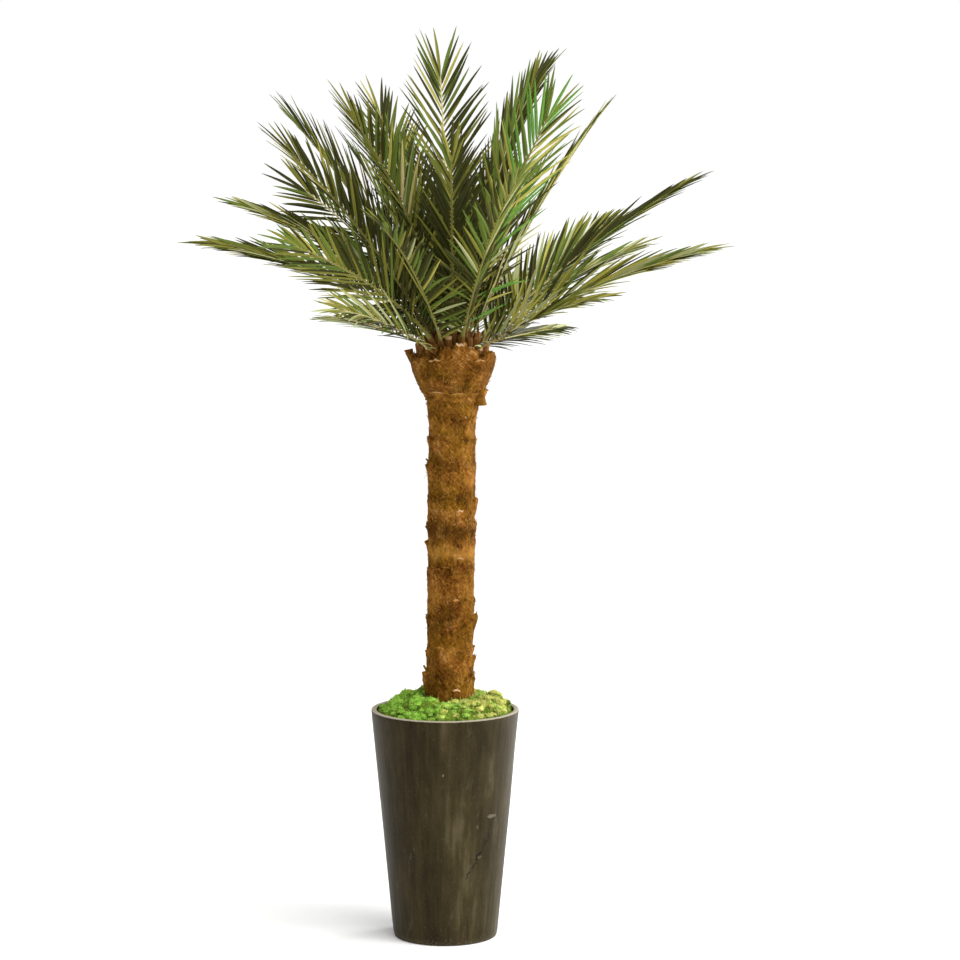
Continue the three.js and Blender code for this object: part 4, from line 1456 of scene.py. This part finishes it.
def buildHeadHairs():
    rng = np.random.default_rng(93)
    count = hairSet["head"]
    angle = rng.uniform(-math.pi, math.pi, count)
    # most on the flare, the others along its rim
    low = rng.random(count) < 0.72
    onFlare, onRim = rng.uniform(1.655, 1.768, count), headSet["rim"] + rng.normal(0.001, 0.006, count)
    height = np.where(low, onFlare, onRim)
    radius = headRadius(height) - rng.uniform(0, 0.012, count) * (~low)
    roots = onRing(trunkSet["headX"], angle, radius, height - 0.003)
    out, side = rng.normal(0.22, 0.2, (count, 1)), rng.normal(0, 0.5, (count, 1))
    ways = hairWays(angle, out, side, rng.uniform(0.1, 1.2, (count, 1)))
    lengths = rng.uniform(0.007, 0.021, count)
    thick = hairSet["thick"] * rng.uniform(0.7, 1.6, count)
    points, faces, each = hairMesh(roots, ways, lengths, rng.normal(0, 0.2, (count, 3)), thick)
    slots = np.repeat(rng.choice(3, count, p=[0.4, 0.45, 0.15]), each)
    finishes = [bpy.data.materials[name] for name in hairTones]
    piece = meshFrom("head_hairs", points, faces, slots, finishes)
    finishPiece(piece, "head_fibre", "head")
    print("head hairs:", count)


buildHeadHairs()


# moss

mossSet = {
    "edge": 0.695,
    "crest": 0.733,
    "outer": 0.2055,
    "hole": 0.070,
    "trunkX": 0.017,
    "skirt": 6,
    "skirtFoot": 0.645,
    "around": 200,
    "rows": 74,
    "cushions": 420,
    "cushionSizes": (0.006, 0.0155),
    "sprigs": 18000,
    "sprigLengths": (0.003, 0.009),
}
# shadow, body and highlight of each moss
mossTones = {
    "mossGreen": [(0.055, 0.130, 0.010), (0.205, 0.420, 0.042), (0.46, 0.68, 0.14)],
    "mossLime": [(0.075, 0.120, 0.013), (0.280, 0.420, 0.055), (0.56, 0.70, 0.17)],
    "mossStraw": [(0.150, 0.140, 0.024), (0.420, 0.430, 0.085), (0.60, 0.62, 0.20)],
    "mossDark": [(0.030, 0.050, 0.005), (0.090, 0.140, 0.014), (0.22, 0.32, 0.035)],
}
sprigTones = {
    "sprigGreen": (0.27, 0.50, 0.065),
    "sprigLime": (0.50, 0.66, 0.14),
    "sprigStraw": (0.58, 0.58, 0.18),
    "sprigDark": (0.060, 0.090, 0.012),
}


def mossHeight(x, y):
    away = np.hypot(x - 0.008, y)
    part = np.clip((mossSet["outer"] - away) / (mossSet["outer"] - mossSet["hole"]), 0, 1)
    spots = np.stack([x, y, 0 * x], axis=1)
    layers = [(0.010, 26, 101), (0.006, 55, 102), (0.003, 120, 103)]
    lumps = sum(depth * softNoise(spots, scale, seed) for depth, scale, seed in layers)
    return mossSet["edge"] + (mossSet["crest"] - mossSet["edge"]) * smoothStep(part * 1.9) + lumps


def mossFinish(name, tones):
    mat = Finish(name, roughness=0.95, specular=0.05)
    clump = mat.noise(60, (1, 1, 1), 4, 0.65)
    fine = mat.noise(300, (1, 1, 1), 3, 0.6)
    tone = clump * 0.55 + fine * 0.45
    mat.feed(colour=mat.ramp(tone, *zip((0.34, 0.5, 0.64), tones)), normal=mat.bump(tone, 0.004))
    return mat.material


def mossKind(spots, pick, rng):
    # green on the left, lime in the middle, straw on the right, with a few dark ones: index into mossTones
    side = spots[:, 0] / 0.2 + 0.6 * softNoise(spots, 24, 131) + rng.normal(0, 0.18, len(spots))
    kind = np.where(side < -0.22, 0, np.where(side < 0.36, 1, 2))
    kind = np.where((kind == 1) & (pick < 0.40), 0, kind)
    return np.where(pick > 0.82, 3, kind)


def buildBed(finish):
    # a skirt down the planter's wall, then the bed up to the trunk
    rows, skirt, outer = mossSet["rows"], mossSet["skirt"], mossSet["outer"]
    piece = rollRing("moss_bed", mossSet["around"], rows)
    row, angle = rowAndAngle(piece, rows)
    share = np.clip((row - skirt) / (rows - 1 - skirt), 0, 1)
    radius = np.where(row < skirt, outer - 0.012, outer + (0.062 - outer) * share)
    x = np.cos(angle) * radius + mossSet["trunkX"] * smoothStep(share)
    y = np.sin(angle) * radius
    height = mossHeight(x, y)
    foot = mossSet["skirtFoot"]
    height = np.where(row < skirt, foot + (height - 0.012 - foot) * row / skirt, height)
    height = height - 0.006 * (row == skirt)
    setCoordinates(piece, np.stack([x, y, height], axis=1))
    shadeSmooth(piece)
    piece.data.materials.append(finish)
    finishPiece(piece, "moss", "moss")
    return coordinates(piece)


def mossBall():
    deselectAll()
    bpy.ops.mesh.primitive_ico_sphere_add(subdivisions=3, radius=1)
    ball = bpy.context.object
    shape = coordinates(ball)
    faces = [tuple(face.vertices) for face in ball.data.polygons]
    bpy.data.objects.remove(ball)
    return shape, faces


def buildCushions(rng, finishes):
    # lumps of moss on the bed
    shape, faces = mossBall()
    points, quads, spots = [], [], []
    for n in range(mossSet["cushions"]):
        turn = rng.uniform(0, 2 * math.pi)
        away = math.sqrt(rng.uniform(0.085**2, 0.192**2))
        size = rng.uniform(*mossSet["cushionSizes"])
        x, y = math.cos(turn) * away, math.sin(turn) * away
        if math.hypot(x - mossSet["trunkX"], y) < 0.080 + size * 0.4:
            continue
        size = min(size, 0.209 - away)
        layers = [(0.30, 1.9, 120), (0.20, 4.5, 121), (0.12, 11, 122)]
        swell = 1 + sum(depth * softNoise(shape + n, scale, seed) for depth, scale, seed in layers)
        lump = shape * swell[:, None] * np.array([size, size, size * rng.uniform(0.5, 0.75)])
        quads += [tuple(i + len(points) * len(shape) for i in face) for face in faces]
        points.append(lump + np.array([x, y, mossHeight(np.array([x]), np.array([y]))[0]]))
        spots.append((x, y, 0))
    spots = np.array(spots)
    kinds = np.repeat(mossKind(spots, rng.random(len(spots)), rng), len(faces))
    points = np.concatenate(points)
    piece = meshFrom("moss_cushions", points, quads, kinds, finishes)
    shadeSmooth(piece)
    finishPiece(piece, "moss", "moss")
    print("moss:", len(spots), "cushions")
    return points


def buildSprigs(rng, cushions, bed):
    # short sprigs that stand out of the cushions and the bed, and lean in from the planter's edge
    count = mossSet["sprigs"]
    low = (bed[:, 2] > 0.68) & (np.hypot(bed[:, 0], bed[:, 1]) < 0.2)
    pool = np.concatenate([cushions[cushions[:, 2] > 0.69], bed[low]])
    roots = pool[rng.integers(0, len(pool), count)] + rng.normal(0, 0.0015, (count, 3))
    ways = rng.normal(0, 0.55, (count, 3)) + np.array([0, 0, 1.0])
    away = np.hypot(roots[:, 0], roots[:, 1])[:, None]
    ways -= np.where(away > 0.195, 1.2, 0.0) * roots * np.array([1, 1, 0]) / np.maximum(away, 0.01)
    lengths = rng.uniform(*mossSet["sprigLengths"], count)
    bends, thick = rng.normal(0, 0.3, (count, 3)), rng.uniform(0.0005, 0.0011, count)
    points, faces, each = hairMesh(roots, ways, lengths, bends, thick, 2)
    finishes = [plainFinish(name, tone, 0.9, 0.05, (700, 0.0003)) for name, tone in sprigTones.items()]
    slots = mossKind(roots, rng.random(count), rng)
    sprigs = meshFrom("moss_sprigs", points, faces, np.repeat(slots, each), finishes)
    finishPiece(sprigs, "moss", "moss")
    print("moss:", count, "sprigs")


def buildMoss():
    rng = np.random.default_rng(111)
    finishes = [mossFinish(name, tones) for name, tones in mossTones.items()]
    # the bed under the cushions takes the dark moss: painted shade in the gaps between them, on top of the
    # dark moss's own colour
    bed = buildBed(bpy.data.materials["mossDark"])
    cushions = buildCushions(rng, finishes)
    buildSprigs(rng, cushions, bed)


buildMoss()


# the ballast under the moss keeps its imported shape

def ballastFinish():
    grit = Finish("castBallast", roughness=0.95, specular=0.2)
    grain = grit.noise(90, (1, 1, 1), 5, 0.65)
    grit.feed(
        colour=grit.ramp(grain, (0.3, (0.08, 0.072, 0.06)), (0.7, (0.28, 0.26, 0.22))),
        normal=grit.bump(grain, 0.003),
    )
    return grit.material


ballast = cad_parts["pot_filling"]
ballastMaterial = ballastFinish()
for materialSlot in ballast.material_slots:
    materialSlot.material = ballastMaterial
print("ballast finished")
